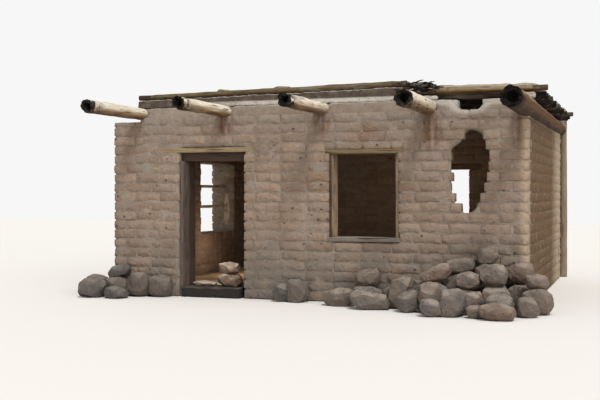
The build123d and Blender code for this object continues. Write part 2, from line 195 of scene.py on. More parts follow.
def close_mesh(piece: Object, smooth_angle: float) -> None:
    """Goes back to object mode and shades the piece smooth below an angle.

    Args:
        piece: The piece in edit mode.
        smooth_angle: Edges sharper than this many degrees stay sharp.
    """
    bpy.ops.object.mode_set(mode="OBJECT")
    select_only(piece)
    bpy.ops.object.shade_smooth_by_angle(angle=math.radians(smooth_angle))


def apply_modifier(piece: Object, kind: str, **settings: object) -> None:
    """Adds a modifier and applies it.

    Args:
        piece: The piece that gets it.
        kind: Blender's name of the modifier.
        settings: The modifier's values.
    """
    select_only(piece)
    modifier = piece.modifiers.new(kind.lower(), kind)
    for name, value in settings.items():
        setattr(modifier, name, value)
    bpy.ops.object.modifier_apply(modifier=modifier.name)


def roughen(
    piece: Object,
    *,
    size: float,
    depth: float,
    stretch: tuple[float, float, float] = (1.0, 1.0, 1.0),
    direction: str = "NORMAL",
    group: str = "",
) -> None:
    """Wears a surface up and down by a cloudy pattern.

    Args:
        piece: The piece to wear.
        size: How far apart the pattern's lumps are.
        depth: From the deepest hollow to the highest lump.
        stretch: How much longer the lumps are along X, Y and Z.
        direction: Which way the surface moves.
        group: The vertex group that limits the wear, or nothing.
    """
    clouds = bpy.data.textures.new("wear", "CLOUDS")
    clouds.noise_scale = size
    clouds.noise_depth = 2
    axes = bpy.data.objects.new("wear_axes", None)
    axes.scale = stretch
    bpy.context.scene.collection.objects.link(axes)
    bpy.context.view_layer.update()
    apply_modifier(
        piece,
        "DISPLACE",
        texture=clouds,
        texture_coords="OBJECT",
        texture_coords_object=axes,
        strength=depth,
        mid_level=0.5,
        direction=direction,
        vertex_group=group,
    )
    bpy.data.objects.remove(axes)
    bpy.data.textures.remove(clouds)


def own_copy(mesh: Mesh, place: Matrix, tone: float | None = None) -> Object:
    """Makes a piece from its own copy of a mesh.

    Args:
        mesh: The mesh that was modelled once.
        place: Where the copy goes, written into its points.
        tone: From 0, dark, to 1, light, for the finish to read, or None to keep the mesh's own.

    Returns:
        The new piece, at the origin.
    """
    copied = mesh.copy()
    copied.transform(place)
    if tone is not None:
        set_tone(copied, tone)
    piece = bpy.data.objects.new(mesh.name, copied)
    bpy.context.scene.collection.objects.link(piece)
    return piece


def set_tone(mesh: Mesh, tone: float) -> None:
    """Writes one tone on all faces of a mesh.

    Args:
        mesh: The mesh.
        tone: From 0 to 1.
    """
    tones = mesh.attributes.get("tone") or mesh.attributes.new("tone", "FLOAT", "FACE")
    tones.data.foreach_set("value", [tone] * len(mesh.polygons))


def join_pieces(pieces: list[Object], name: str) -> Object:
    """Joins pieces into one.

    Args:
        pieces: The pieces, all at the origin.
        name: The joined piece's name.

    Returns:
        The joined piece.
    """
    select_only(*pieces)
    bpy.ops.object.join()
    piece = bpy.context.object
    piece.name = piece.data.name = name
    return piece


def settle(piece: Object) -> Mesh:
    """Writes a piece's place into its points, takes it out of the scene and keeps its mesh.

    Args:
        piece: The model of a thing that repeats.

    Returns:
        Its mesh.
    """
    select_only(piece)
    bpy.ops.object.transform_apply(location=True, rotation=True, scale=True)
    mesh = piece.data
    bpy.data.objects.remove(piece)
    return mesh


def copy_node(node: str, name: str) -> Object:
    """Copies a CAD node's mesh and merges its loose triangles.

    Args:
        node: The CAD node.
        name: The copy's name.

    Returns:
        The copy, at the origin.
    """
    piece = bpy.data.objects.new(name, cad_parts[node].data.copy())
    piece.data.name = name
    piece.data.materials.clear()
    bpy.context.scene.collection.objects.link(piece)
    open_mesh(piece)
    bpy.ops.mesh.select_all(action="SELECT")
    bpy.ops.mesh.remove_doubles(threshold=0.00002)
    bpy.ops.mesh.customdata_custom_splitnormals_clear()
    bpy.ops.object.mode_set(mode="OBJECT")
    return piece


def split_loose(piece: Object) -> list[Object]:
    """Separates a piece into its solids.

    Args:
        piece: The piece, which becomes the first solid.

    Returns:
        The solids, in order of their place.
    """
    open_mesh(piece)
    bpy.ops.mesh.select_all(action="SELECT")
    bpy.ops.mesh.separate(type="LOOSE")
    bpy.ops.object.mode_set(mode="OBJECT")
    solids = list(bpy.context.selected_objects)
    return sorted(solids, key=lambda solid: tuple(round(v, 4) for v in box_of(solid)[0]))


def box_of(piece: Object) -> Box:
    """Measures a piece at the origin.

    Args:
        piece: The piece.

    Returns:
        Its lowest and highest corners.
    """
    points = [vertex.co for vertex in piece.data.vertices]
    low = Vector([min(point[axis] for point in points) for axis in range(3)])
    high = Vector([max(point[axis] for point in points) for axis in range(3)])
    return low, high


def pop_solids(node: str) -> Iterator[Object]:
    """Copies the solids of a CAD node, gives them one by one and then removes them.

    Args:
        node: The CAD node.

    Yields:
        Each solid.
    """
    solids = split_loose(copy_node(node, "solid"))
    yield from solids
    for solid in solids:
        bpy.data.objects.remove(solid)


def hand_over(piece: Object, finish: Material, slot: Slot, *nodes: str) -> None:
    """Dresses a finished piece, ties it to the house and reports it.

    Args:
        piece: The piece, at the origin.
        finish: Its material.
        slot: The record's slot that the finish belongs to; not used.
        nodes: CAD nodes that the piece stands for.
    """
    piece.data.materials.clear()
    piece.data.materials.append(finish)
    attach(piece, "root")
    if nodes:
        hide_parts(*nodes)
    log.info("%s: %d faces", piece.name, len(piece.data.polygons))


def linear(hex_colour: str) -> tuple[float, float, float, float]:
    """Turns an sRGB hex colour to linear RGBA.

    Args:
        hex_colour: Such as "#8C7B6C".

    Returns:
        The colour with full alpha.
    """
    parts = [int(hex_colour[at : at + 2], 16) / 255 for at in (1, 3, 5)]
    return (*[v / 12.92 if v <= 0.04045 else ((v + 0.055) / 1.055) ** 2.4 for v in parts], 1.0)


def add_node(
    owner: Material | World, kind: str, inputs: dict[str | int, object], **settings: object
) -> bpy.types.Node:
    """Adds a shader node with its settings and links.

    Args:
        owner: The material or world that gets the node.
        kind: Blender's name of the node, without "ShaderNode".
        inputs: A value, or a socket to link, for each named input.
        settings: The node's own settings.

    Returns:
        The node.
    """
    node = owner.node_tree.nodes.new("ShaderNode" + kind)
    for name, value in settings.items():
        setattr(node, name, value)
    for name, value in inputs.items():
        if isinstance(value, Socket):
            owner.node_tree.links.new(value, node.inputs[name])
        else:
            node.inputs[name].default_value = value
    return node


class Surface:
    """Builds a material in layers: stains over a base colour, and relief over relief."""

    # The share of a speck's radius inside which it is full, and how sharply chance picks specks.
    speck_core: float = 0.6
    speck_pick: float = 0.02

    def __init__(self, name: str, base: str, roughness: float, specular: float) -> None:
        """Starts a material.

        Args:
            name: The real material's name.
            base: Its sRGB colour.
            roughness: The shader's roughness.
            specular: The shader's specular level.
        """
        self.material = bpy.data.materials.new(name)
        self.material.use_nodes = True
        self.material.node_tree.nodes.clear()
        shader = {"Roughness": roughness, "Specular IOR Level": specular}
        self.shader = add_node(self.material, "BsdfPrincipled", shader)
        add_node(self.material, "OutputMaterial", {"Surface": self.shader.outputs["BSDF"]})
        place = add_node(self.material, "TexCoord", {})
        self.place = place.outputs["Object"]
        self.normal = place.outputs["Normal"]
        self.colour: Socket | tuple[float, float, float, float] = linear(base)
        self.relief: Socket | None = None

    def clouds(
        self,
        size: float,
        low: float,
        high: float,
        stretch: tuple[float, float, float] = (1.0, 1.0, 1.0),
        detail: float = 4.0,
        shift: float = 0.0,
    ) -> Socket:
        """A cloudy mask.

        Args:
            size: How far apart the clouds are, in millimetres.
            low: The noise value at which the mask starts.
            high: The noise value at which it is full.
            stretch: How much longer the clouds are along X, Y and Z.
            detail: How many finer layers the clouds have.
            shift: Moves the pattern, so that two layers differ.

        Returns:
            The mask, from 0 to 1.
        """
        moved = {"Vector": self.place, "Location": (shift,) * 3, "Scale": [1 / s for s in stretch]}
        placed = add_node(self.material, "Mapping", moved).outputs["Vector"]
        look = {"Vector": placed, "Scale": METRE / size, "Detail": detail}
        noise = add_node(self.material, "TexNoise", look).outputs["Fac"]
        limits = {"Value": noise, "From Min": low, "From Max": high}
        return add_node(self.material, "MapRange", limits).outputs["Result"]

    def specks(self, size: float, reach: float, share: float, shift: float = 0.0) -> Socket:
        """A mask of scattered round specks.

        Args:
            size: The distance between specks, in millimetres.
            reach: A speck's radius as a share of that distance.
            share: The share of the places that have a speck.
            shift: Moves the pattern, so that two layers differ.

        Returns:
            The mask, 1 inside the specks.
        """
        moved = {"Vector": self.place, "Location": (shift,) * 3}
        placed = add_node(self.material, "Mapping", moved).outputs["Vector"]
        cells = add_node(self.material, "TexVoronoi", {"Vector": placed, "Scale": METRE / size})
        picked = add_node(self.material, "SeparateColor", {"Color": cells.outputs["Color"]})
        limits = {"From Min": share + self.speck_pick, "From Max": share}
        limits["Value"] = picked.outputs["Red"]
        chosen = add_node(self.material, "MapRange", limits).outputs["Result"]
        edge = {"From Min": reach, "From Max": reach * self.speck_core, "To Max": chosen}
        edge["Value"] = cells.outputs["Distance"]
        return add_node(self.material, "MapRange", edge).outputs["Result"]

    def along(
        self, source: Socket, axis: tuple[float, float, float], low: float, high: float
    ) -> Socket:
        """A mask that changes along an axis.

        Args:
            source: The place, for a change across the house, or the normal, for the side faced.
            axis: The axis.
            low: Where the mask starts, above high where it falls.
            high: Where it is full.

        Returns:
            The mask, from 0 to 1.
        """
        product = {0: source, 1: axis}
        value = add_node(self.material, "VectorMath", product, operation="DOT_PRODUCT")
        limits = {"Value": value.outputs["Value"], "From Min": low, "From Max": high}
        return add_node(self.material, "MapRange", limits).outputs["Result"]

    def near(
        self, middle: tuple[float, float, float], reach: tuple[float, float, float], full: float
    ) -> Socket:
        """A mask round one place.

        Args:
            middle: The place.
            reach: How far the mask goes along X, Y and Z.
            full: The share of the reach inside which it is full.

        Returns:
            The mask, from 0 to 1.
        """
        moved = {"Vector": self.place, "Scale": [1 / part for part in reach]}
        moved["Location"] = [-at / part for at, part in zip(middle, reach)]
        placed = add_node(self.material, "Mapping", moved).outputs["Vector"]
        away = add_node(self.material, "VectorMath", {0: placed}, operation="LENGTH")
        limits = {"Value": away.outputs["Value"], "From Min": 1.0, "From Max": full}
        return add_node(self.material, "MapRange", limits).outputs["Result"]

    def tone(self, low: float, high: float) -> Socket:
        """A mask from the tone that each brick, stone or board carries.

        Args:
            low: The tone at which the mask starts, above high where it falls.
            high: The tone at which it is full.

        Returns:
            The mask, from 0 to 1.
        """
        carried = add_node(self.material, "Attribute", {}, attribute_name="tone")
        limits = {"Value": carried.outputs["Fac"], "From Min": low, "From Max": high}
        return add_node(self.material, "MapRange", limits).outputs["Result"]

    def stain(self, colour: str, strength: float, *masks: Socket) -> None:
        """Lays a colour over the ones before it.

        Args:
            colour: Its sRGB colour.
            strength: How much of it shows where the masks are full.
            masks: Where it goes: the places that all of them share.
        """
        amount: Socket | float = strength
        for mask in masks:
            product = add_node(self.material, "Math", {0: mask, 1: amount}, operation="MULTIPLY")
            amount = product.outputs["Value"]
        layer = {"Fac": amount, "Color1": self.colour, "Color2": linear(colour)}
        self.colour = add_node(self.material, "MixRGB", layer).outputs["Color"]

    def raise_by(self, mask: Socket, height: float) -> None:
        """Lays relief over the relief before it.

        Args:
            mask: Where it goes.
            height: How far the full mask stands up, in millimetres, or down if negative.
        """
        bump: dict[str | int, object] = {"Height": mask, "Distance": abs(height) / METRE}
        if self.relief:
            bump["Normal"] = self.relief
        node = add_node(self.material, "Bump", bump, invert=height < 0)
        self.relief = node.outputs["Normal"]

    def done(self) -> Material:
        """Links the last layers to the shader.

        Returns:
            The material.
        """
        links = self.material.node_tree.links
        links.new(self.colour, self.shader.inputs["Base Color"])
        links.new(self.relief, self.shader.inputs["Normal"])
        return self.material


class WallSurface(Surface):
    """A finish of the mud walls, with the marks that run on from the bricks to the mortar."""

    def streak_with_rain(self, brown: str) -> None:
        """Lays streaks where rain off the logs runs down the front wall.

        Args:
            brown: Their colour.
        """
        for middle, reach in RAIN_RUNS:
            run = self.near(middle, reach, 0.4)
            streaks = self.clouds(70, 0.35, 0.6, stretch=(1.0, 1.0, 5.0), shift=1.0)
            self.stain(brown, 0.8, run, streaks)

    def weather_and_sunlight_right_side(self, worn: str, washed: str) -> None:
        """Lightens the house's two right corners, worn and with painted sunlight, and the right end
        of the front wall's top.

        Args:
            worn: The corners' colour, which stands for wear and painted sunlight.
            washed: The washed wall top's colour.
        """
        # Painted sunlight: the front right corner is paler, partly from wear, and the rear part of
        # the right wall is paler as sunlight.
        outside = self.along(self.place, RIGHTWARD, 2.64, 2.71)
        front = self.along(self.place, FORWARD, 2.08, 2.22)
        rear = self.along(self.place, REARWARD, 0.7, 1.7)
        self.stain(worn, 0.85, outside, front, self.clouds(260, 0.2, 0.4, shift=8.0))
        self.stain(worn, 0.95, outside, rear, self.clouds(420, 0.2, 0.4, shift=8.0))
        crest = self.along(self.place, UP, 2.41, 2.45)
        below_roof = self.along(self.place, UP, 2.55, 2.52)
        right_end = self.along(self.place, RIGHTWARD, 1.45, 1.65)
        self.stain(washed, 0.8, crest, below_roof, right_end)
        self.stain(washed, 0.8, self.near(NOTCH_MIDDLE, (0.30, 0.30, 0.17), 0.75))

    def paint_sunlit_patch(self, sunlit_patch: str) -> None:
        """Paints a pale, ragged patch on the rear reveal of the left window, as painted sunlight.

        Args:
            sunlit_patch: The patch's colour.
        """
        patchy = self.clouds(90, 0.38, 0.5, shift=9.0)
        self.stain(sunlit_patch, 0.85, self.near(*SUNLIT_PATCH, 0.8), patchy)


@dataclass(frozen=True)
class AdobeBrick:
    """Sun-dried adobe brick, cast from silt, clay, straw and grit in open wooden moulds.

    Each brick has its own tone, pale straw and dark grit show where rain has opened the face, and
    chips are left where both fell out. The foot is damp and grey and the top is washed. The right
    wall is a darker brown: browner mud, and painted shade. Straw runs level, as it lay in the mould.
    """

    clay: str = "#7F6C5C"
    pale_clay: str = "#968170"
    red_clay: str = "#7F624F"
    washed_silt: str = "#857B72"
    straw: str = "#B3A284"
    grit: str = "#4B4038"
    damp: str = "#6A635D"
    rain_brown: str = "#583B26"
    worn_and_sunlit_corner: str = "#9F8D78"
    washed_top: str = "#A79F95"
    shaded_brown: str = "#5F4830"
    sunlit_patch: str = "#B8A48F"
    # In millimetres, as on real bricks: grit 14 across, chips 36 across, straw 5 wide and 45 long.
    grit_spacing: float = 42.0
    chip_spacing: float = 120.0
    straw_width: float = 5.0
    straw_widths_long: float = 9.0

    def material(self) -> Material:
        """Builds the finish.

        Returns:
            The material.
        """
        brick = WallSurface("sun_dried_adobe_brick", self.clay, roughness=0.95, specular=0.12)
        brick.stain(self.pale_clay, 0.9, brick.tone(0.1, 1.0))
        brick.stain(self.red_clay, 0.7, brick.tone(0.4, 0.0), brick.clouds(900, 0.4, 0.65))
        brick.stain(self.washed_silt, 0.55, brick.clouds(260, 0.42, 0.66, shift=3.0))
        brick.stain(self.clay, 0.45, brick.clouds(60, 0.5, 0.62, shift=7.0))
        lying = (self.straw_widths_long, self.straw_widths_long, 1.0)
        straw = brick.clouds(self.straw_width, 0.62, 0.68, stretch=lying, detail=1.0)
        brick.stain(self.straw, 0.5, straw)
        foot = brick.along(brick.place, UP, 1.0, 0.1)
        brick.stain(self.damp, 0.9, foot, brick.clouds(400, 0.25, 0.55, shift=5.0))
        wall_top = brick.along(brick.place, UP, 2.15, 2.35)
        brick.stain(self.washed_silt, 0.65, wall_top)
        brick.streak_with_rain(self.rain_brown)
        # Painted shade: faces of the right wall that turn right are stained a darker brown, partly
        # browner mud.
        facing_right = brick.along(brick.normal, RIGHTWARD, 0.5, 0.8)
        right_wall = brick.along(brick.place, RIGHTWARD, 2.5, 2.6)
        brick.stain(self.shaded_brown, 0.85, facing_right, right_wall)
        brick.weather_and_sunlight_right_side(self.worn_and_sunlit_corner, self.washed_top)
        brick.paint_sunlit_patch(self.sunlit_patch)
        grit = brick.specks(self.grit_spacing, 0.17, 0.4)
        chips = brick.specks(self.chip_spacing, 0.15, 0.4, shift=2.0)
        brick.stain(self.grit, 0.7, grit)
        brick.stain(self.grit, 0.75, chips)
        brick.raise_by(brick.clouds(55, 0.25, 0.75, detail=6.0), 10.0)
        brick.raise_by(grit, -5.0)
        brick.raise_by(chips, -14.0)
        brick.raise_by(straw, 1.5)
        return brick.done()


@dataclass(frozen=True)
class MudMortar:
    """Mud mortar and mud wash, thrown on by hand, a little paler and greyer than the bricks.

    Rain has smoothed it into soft lumps with a few pebbles in them. The ledge that faces up on the
    wall top is painted nearly white as sunlight, and the band above the wall has white streaks too.
    """

    name: str = "mud_mortar"
    silt: str = "#867A6E"
    pale_silt: str = "#978C81"
    brown_silt: str = "#746454"
    washed_and_sunlit_ledge: str = "#A79F95"
    pebble: str = "#564C44"
    damp: str = "#67605A"
    rain_brown: str = "#583B26"
    worn_and_sunlit_corner: str = "#A3917C"
    sunlit_patch: str = "#B8A48F"
    streak: float = 0.0
    # In millimetres: how deep the lumps are, and pebbles 18 across, as in real mortar.
    relief: float = 14.0
    pebble_spacing: float = 60.0

    def material(self) -> Material:
        """Builds the finish.

        Returns:
            The material.
        """
        mud = WallSurface(self.name, self.silt, roughness=0.95, specular=0.12)
        mud.stain(self.brown_silt, 0.75, mud.clouds(340, 0.42, 0.66))
        mud.stain(self.pale_silt, 0.7, mud.clouds(120, 0.5, 0.7, shift=4.0))
        top_course = mud.along(mud.place, UP, 2.3, 2.36)
        below_band = mud.along(mud.place, UP, 2.52, 2.5)
        past_left_end = mud.along(mud.place, RIGHTWARD, -1.9, -1.2)
        mud.stain(self.brown_silt, 0.5, top_course, below_band, past_left_end)
        foot = mud.along(mud.place, UP, 0.9, 0.1)
        mud.stain(self.damp, 0.8, foot, mud.clouds(400, 0.3, 0.6, shift=5.0))
        mud.streak_with_rain(self.rain_brown)
        mud.weather_and_sunlight_right_side(self.worn_and_sunlit_corner, self.washed_and_sunlit_ledge)
        mud.paint_sunlit_patch(self.sunlit_patch)
        # Painted sunlight: the ledge that faces up on the wall top is nearly white.
        facing_up = mud.along(mud.normal, UP, 0.6, 0.9)
        wall_top = mud.along(mud.place, UP, 2.28, 2.32)
        mud.stain(self.washed_and_sunlit_ledge, 0.95, facing_up, wall_top)
        if self.streak:
            washed = mud.clouds(500, 0.36, 0.5, stretch=(2.0, 1.0, 1.0), shift=6.0)
            low = mud.along(mud.place, UP, 2.57, 2.55)
            from_left = mud.along(mud.place, RIGHTWARD, -1.9, -0.8)
            from_right = mud.along(mud.place, RIGHTWARD, 2.4, 2.2)
            mud.stain(self.washed_and_sunlit_ledge, self.streak, low, from_left, from_right, washed)
        pebbles = mud.specks(self.pebble_spacing, 0.15, 0.35)
        mud.stain(self.pebble, 0.7, pebbles)
        mud.raise_by(mud.clouds(90, 0.2, 0.8, detail=6.0), self.relief)
        mud.raise_by(mud.clouds(14, 0.35, 0.65, shift=2.0), 2.5)
        mud.raise_by(pebbles, 4.0)
        return mud.done()


@dataclass(frozen=True)
class RoofSoil:
    """Dry gravelly earth, spread on the roof poles and beaten flat, with grit left on its top."""

    soil: str = "#9A8B79"
    dark_soil: str = "#77685A"
    dust: str = "#B5A999"
    gravel: str = "#6D6258"
    pale_gravel: str = "#CFC6B9"
    # In millimetres: dark gravel 16 across and, closer together, pale gravel 10 across.
    gravel_spacing: float = 34.0
    pale_gravel_closer: float = 0.7

    def material(self) -> Material:
        """Builds the finish.

        Returns:
            The material.
        """
        earth = Surface("gravelly_roof_earth", self.soil, roughness=1.0, specular=0.1)
        earth.stain(self.dark_soil, 0.6, earth.clouds(700, 0.4, 0.6))
        earth.stain(self.dust, 0.5, earth.clouds(160, 0.45, 0.75, shift=6.0))
        gravel = earth.specks(self.gravel_spacing, 0.24, 0.45)
        pale_spacing = self.gravel_spacing * self.pale_gravel_closer
        pale = earth.specks(pale_spacing, 0.2, 0.3, shift=9.0)
        earth.stain(self.gravel, 0.8, gravel)
        earth.stain(self.pale_gravel, 0.8, pale)
        earth.raise_by(earth.clouds(70, 0.25, 0.75, detail=6.0), 12.0)
        earth.raise_by(gravel, 6.0)
        earth.raise_by(pale, 4.0)
        return earth.done()


@dataclass(frozen=True)
class PackedEarth:
    """Beaten earth floor, trodden smooth and dark in patches, with pale dust and crumbs on it."""

    earth: str = "#B49E82"
    trodden: str = "#9C886E"
    dust: str = "#D2C2A8"
    crumb: str = "#5F5448"
    # In millimetres, for crumbs 20 across.
    crumb_spacing: float = 50.0

    def material(self) -> Material:
        """Builds the finish.

        Returns:
            The material.
        """
        floor = Surface("beaten_earth_floor", self.earth, roughness=0.95, specular=0.15)
        floor.stain(self.trodden, 0.8, floor.clouds(900, 0.4, 0.62))
        floor.stain(self.dust, 0.8, floor.clouds(200, 0.48, 0.7, shift=3.0))
        crumbs = floor.specks(self.crumb_spacing, 0.2, 0.4)
        floor.stain(self.crumb, 0.7, crumbs)
        floor.raise_by(floor.clouds(120, 0.2, 0.8, detail=6.0), 10.0)
        floor.raise_by(crumbs, 5.0)
        return floor.done()


@dataclass(frozen=True)
class PeeledLog:
    """Peeled cottonwood log, left out in the sun for many years.

    The top is cream, from bleaching and from painted sunlight, faces turned down are painted a dark
    brown as shade, and dark drying cracks run along the grain. Cut ends are black with rot, which
    fades out over a forearm's length behind them.
    """

    name: str = "peeled_cottonwood_log"
    grain: Grain = Grain.Y
    bleached_and_sunlit: str = "#EADFC9"
    heartwood: str = "#A58865"
    fibre_and_underside_shade: str = "#5A402B"
    grey: str = "#9A9084"
    crack: str = "#2E251D"
    rot: str = "#15100C"
    # The pale top, bleaching with painted sunlight, starts at this upward part of the normal, and is
    # full this much further up.
    bleached_and_sunlit_from: float = -0.45
    bleached_and_sunlit_over: float = 0.6
    # Growth rings and drying cracks are this many millimetres apart, as on real logs. Along the
    # grain they, and the patches of grey, are this many times as long.
    ring_width: float = 7.0
    crack_width: float = 16.0
    grain_length: float = 22.0
    patch_length: float = 4.0

    def material(self) -> Material:
        """Builds the finish.

        Returns:
            The material.
        """
        along = self.grain.stretch(self.grain_length)
        patches = self.grain.stretch(self.patch_length)
        wood = Surface(self.name, self.heartwood, roughness=0.85, specular=0.2)
        # Painted sunlight: faces turned up are paler, along with real bleaching.
        start = self.bleached_and_sunlit_from
        facing_up = wood.along(wood.normal, UP, start, start + self.bleached_and_sunlit_over)
        wood.stain(self.bleached_and_sunlit, 0.95, facing_up)
        # Painted shade: faces turned down are a darker brown.
        facing_down = wood.along(wood.normal, UP, -0.25, -0.8)
        wood.stain(self.fibre_and_underside_shade, 0.9, facing_down)
        wood.stain(self.grey, 0.45, wood.clouds(120, 0.5, 0.66, stretch=patches, shift=2.0))
        wood.stain(self.heartwood, 0.6, wood.clouds(90, 0.56, 0.7, stretch=patches, shift=8.0))
        fibres = wood.clouds(self.ring_width, 0.4, 0.62, stretch=along, detail=3.0)
        wood.stain(self.fibre_and_underside_shade, 0.3, fibres)
        cracks = wood.clouds(self.crack_width, 0.64, 0.69, stretch=along, detail=2.0, shift=5.0)
        wood.stain(self.crack, 0.9, cracks)
        near_end = wood.tone(0.0, 0.4)
        wood.stain(self.rot, 0.97, near_end, wood.clouds(70, 0.44, 0.54, shift=4.0))
        cut_face = wood.tone(0.6, 0.95)
        wood.stain(self.rot, 0.97, cut_face)
        wood.raise_by(fibres, -2.0)
        wood.raise_by(cracks, -9.0)
        return wood.done()


@dataclass(frozen=True)
class OldBoard:
    """Rough-sawn pine board, silvered outdoors, with raised grain and open splits.

    The front faces have a colour of their own: weathering, and on the darkest boards painted shade.
    """

    name: str = "silvered_pine_board"
    grain: Grain = Grain.Z
    wood: str = "#8D7860"
    silver: str = "#9E8F7B"
    dark_grain: str = "#5B4C40"
    split: str = "#2B231D"
    stain_colour: str = "#6F6052"
    front_wear_and_shade: str = "#6F6052"
    # Veins and splits are this many millimetres apart, as on real boards, and this many times as
    # long along the grain.
    grain_width: float = 9.0
    split_width: float = 20.0
    grain_length: float = 26.0

    def material(self) -> Material:
        """Builds the finish.

        Returns:
            The material.
        """
        along = self.grain.stretch(self.grain_length)
        board = Surface(self.name, self.wood, roughness=0.9, specular=0.2)
        board.stain(self.silver, 0.8, board.tone(0.0, 1.0))
        board.stain(self.stain_colour, 0.6, board.clouds(170, 0.45, 0.65, shift=3.0))
        # The front faces' own colour: weathering, and on the door head and the left window jamb
        # painted shade.
        facing_front = board.along(board.normal, FORWARD, 0.5, 0.9)
        board.stain(self.front_wear_and_shade, 0.97, facing_front)
        veins = board.clouds(self.grain_width, 0.42, 0.62, stretch=along, detail=3.0)
        board.stain(self.dark_grain, 0.55, veins)
        splits = board.clouds(self.split_width, 0.66, 0.7, stretch=along, detail=1.0, shift=6.0)
        board.stain(self.split, 0.9, splits)
        board.raise_by(veins, -2.5)
        board.raise_by(splits, -7.0)
        return board.done()


@dataclass(frozen=True)
class FieldStone:
    """Welded volcanic tuff, broken from the hills: tan, rust and grey, pitted and speckled."""

    name: str = "welded_volcanic_tuff"
    tan: str = "#6D6055"
    rust: str = "#6C564C"
    grey: str = "#5C5754"
    sunlit_top: str = "#968A7D"
    pit_shade: str = "#37302A"
    crystal: str = "#A89D8F"
    # In millimetres, for pits 17 across. The crystals are drawn 7 across, about three times their
    # real size, because real ones are too fine to show.
    pit_spacing: float = 38.0
    crystal_spacing: float = 22.0

    def material(self) -> Material:
        """Builds the finish.

        Returns:
            The material.
        """
        tuff = Surface(self.name, self.tan, roughness=0.92, specular=0.2)
        tuff.stain(self.rust, 0.9, tuff.tone(0.25, 0.05))
        tuff.stain(self.grey, 1.0, tuff.tone(0.55, 0.8))
        tuff.stain(self.tan, 0.5, tuff.clouds(220, 0.42, 0.62))
        tuff.stain(self.grey, 0.6, tuff.clouds(90, 0.5, 0.68, shift=4.0))
        # Painted sunlight: faces turned up are paler.
        sky = tuff.along(tuff.normal, UP, 0.25, 0.85)
        tuff.stain(self.sunlit_top, 0.8, sky, tuff.clouds(130, 0.3, 0.6, shift=2.0))
        pits = tuff.specks(self.pit_spacing, 0.22, 0.4)
        crystals = tuff.specks(self.crystal_spacing, 0.16, 0.3, shift=7.0)
        # Painted shade: the pits are darker.
        tuff.stain(self.pit_shade, 0.6, pits)
        tuff.stain(self.crystal, 0.5, crystals)
        tuff.raise_by(tuff.clouds(60, 0.2, 0.8, detail=7.0), 18.0)
        tuff.raise_by(pits, -8.0)
        return tuff.done()


@dataclass
class Patch:
    """A rectangle on a wall's face, from start to end along it and from foot to top."""

    start: float
    end: float
    foot: float
    top: float


class Gap(Patch):
    """A patch that has no bricks: an opening, a lintel or fallen work."""


class Brick(Patch):
    """One brick as it shows on a wall."""

    def around(self, gap: Gap, shortest: float, thinnest: float) -> list["Brick"]:
        """What a gap leaves of the brick.

        Args:
            gap: The gap.
            shortest: A shorter end piece is left out.
            thinnest: A lower strip is left out.

        Returns:
            The pieces that are left.
        """
        if min(self.end, gap.end) <= max(self.start, gap.start):
            return [self]
        if min(self.top, gap.top) <= max(self.foot, gap.foot):
            return [self]
        inner_start, inner_end = max(self.start, gap.start), min(self.end, gap.end)
        left = [
            Brick(self.start, gap.start, self.foot, self.top),
            Brick(gap.end, self.end, self.foot, self.top),
            Brick(inner_start, inner_end, self.foot, gap.foot),
            Brick(inner_start, inner_end, gap.top, self.top),
        ]
        return [
            piece
            for piece in left
            if piece.end - piece.start >= shortest and piece.top - piece.foot >= thinnest
        ]


@dataclass
class Wall:
    """One wall of the house, seen square on from outside, its places measured from its middle.

    The face is how far the wall's outer face is from the middle of the house, and the outlines are
    the broken places, which leave ragged ends of bricks.
    """

    name: str
    turn: float
    half_length: float
    face: float
    starts_whole: bool
    gaps: list[Gap]
    outlines: list[list[tuple[float, float]]] = field(default_factory=list)
    worn_top: bool = False
    ragged_start: tuple[float, float] = (-0.01, 0.02)
    ragged_end: tuple[float, float] = (-0.01, 0.03)
    slack: float = 0.01

    def broken_gaps(
        self, foot: float, top: float, flare: float, draw: random.Random
    ) -> Iterator[Gap]:
        """The gaps that the broken outlines leave in one course.

        Args:
            foot: The course's lowest height.
            top: The course's highest height.
            flare: How much wider the outlines are to the left in this layer.
            draw: The source of chance for the ragged ends.

        Yields:
            One gap for each outline that the course meets.
        """
        middle = (foot + top) / 2
        for outline in self.outlines:
            for height in ((foot + middle) / 2, (middle + top) / 2):
                crossings = [
                    x1 + (x2 - x1) * (height - z1) / (z2 - z1)
                    for (x1, z1), (x2, z2) in zip(outline, outline[1:] + outline[:1])
                    if min(z1, z2) <= height < max(z1, z2)
                ]
                if crossings:
                    yield Gap(
                        min(crossings) - flare + draw.uniform(*self.ragged_start),
                        max(crossings) - draw.uniform(*self.ragged_end),
                        foot - self.slack,
                        top + self.slack,
                    )
                    break


class Mould(Enum):
    """The moulds that bricks come from: their share of a whole length, and their worn corner.

    The corner is -1 or 1 where the left or right end is on a corner of the house, or 0.
    """

    WHOLE = (1.0, 0)
    HALF = (0.5, 0)
    LEFT_CORNER = (1.0, -1)
    RIGHT_CORNER = (1.0, 1)


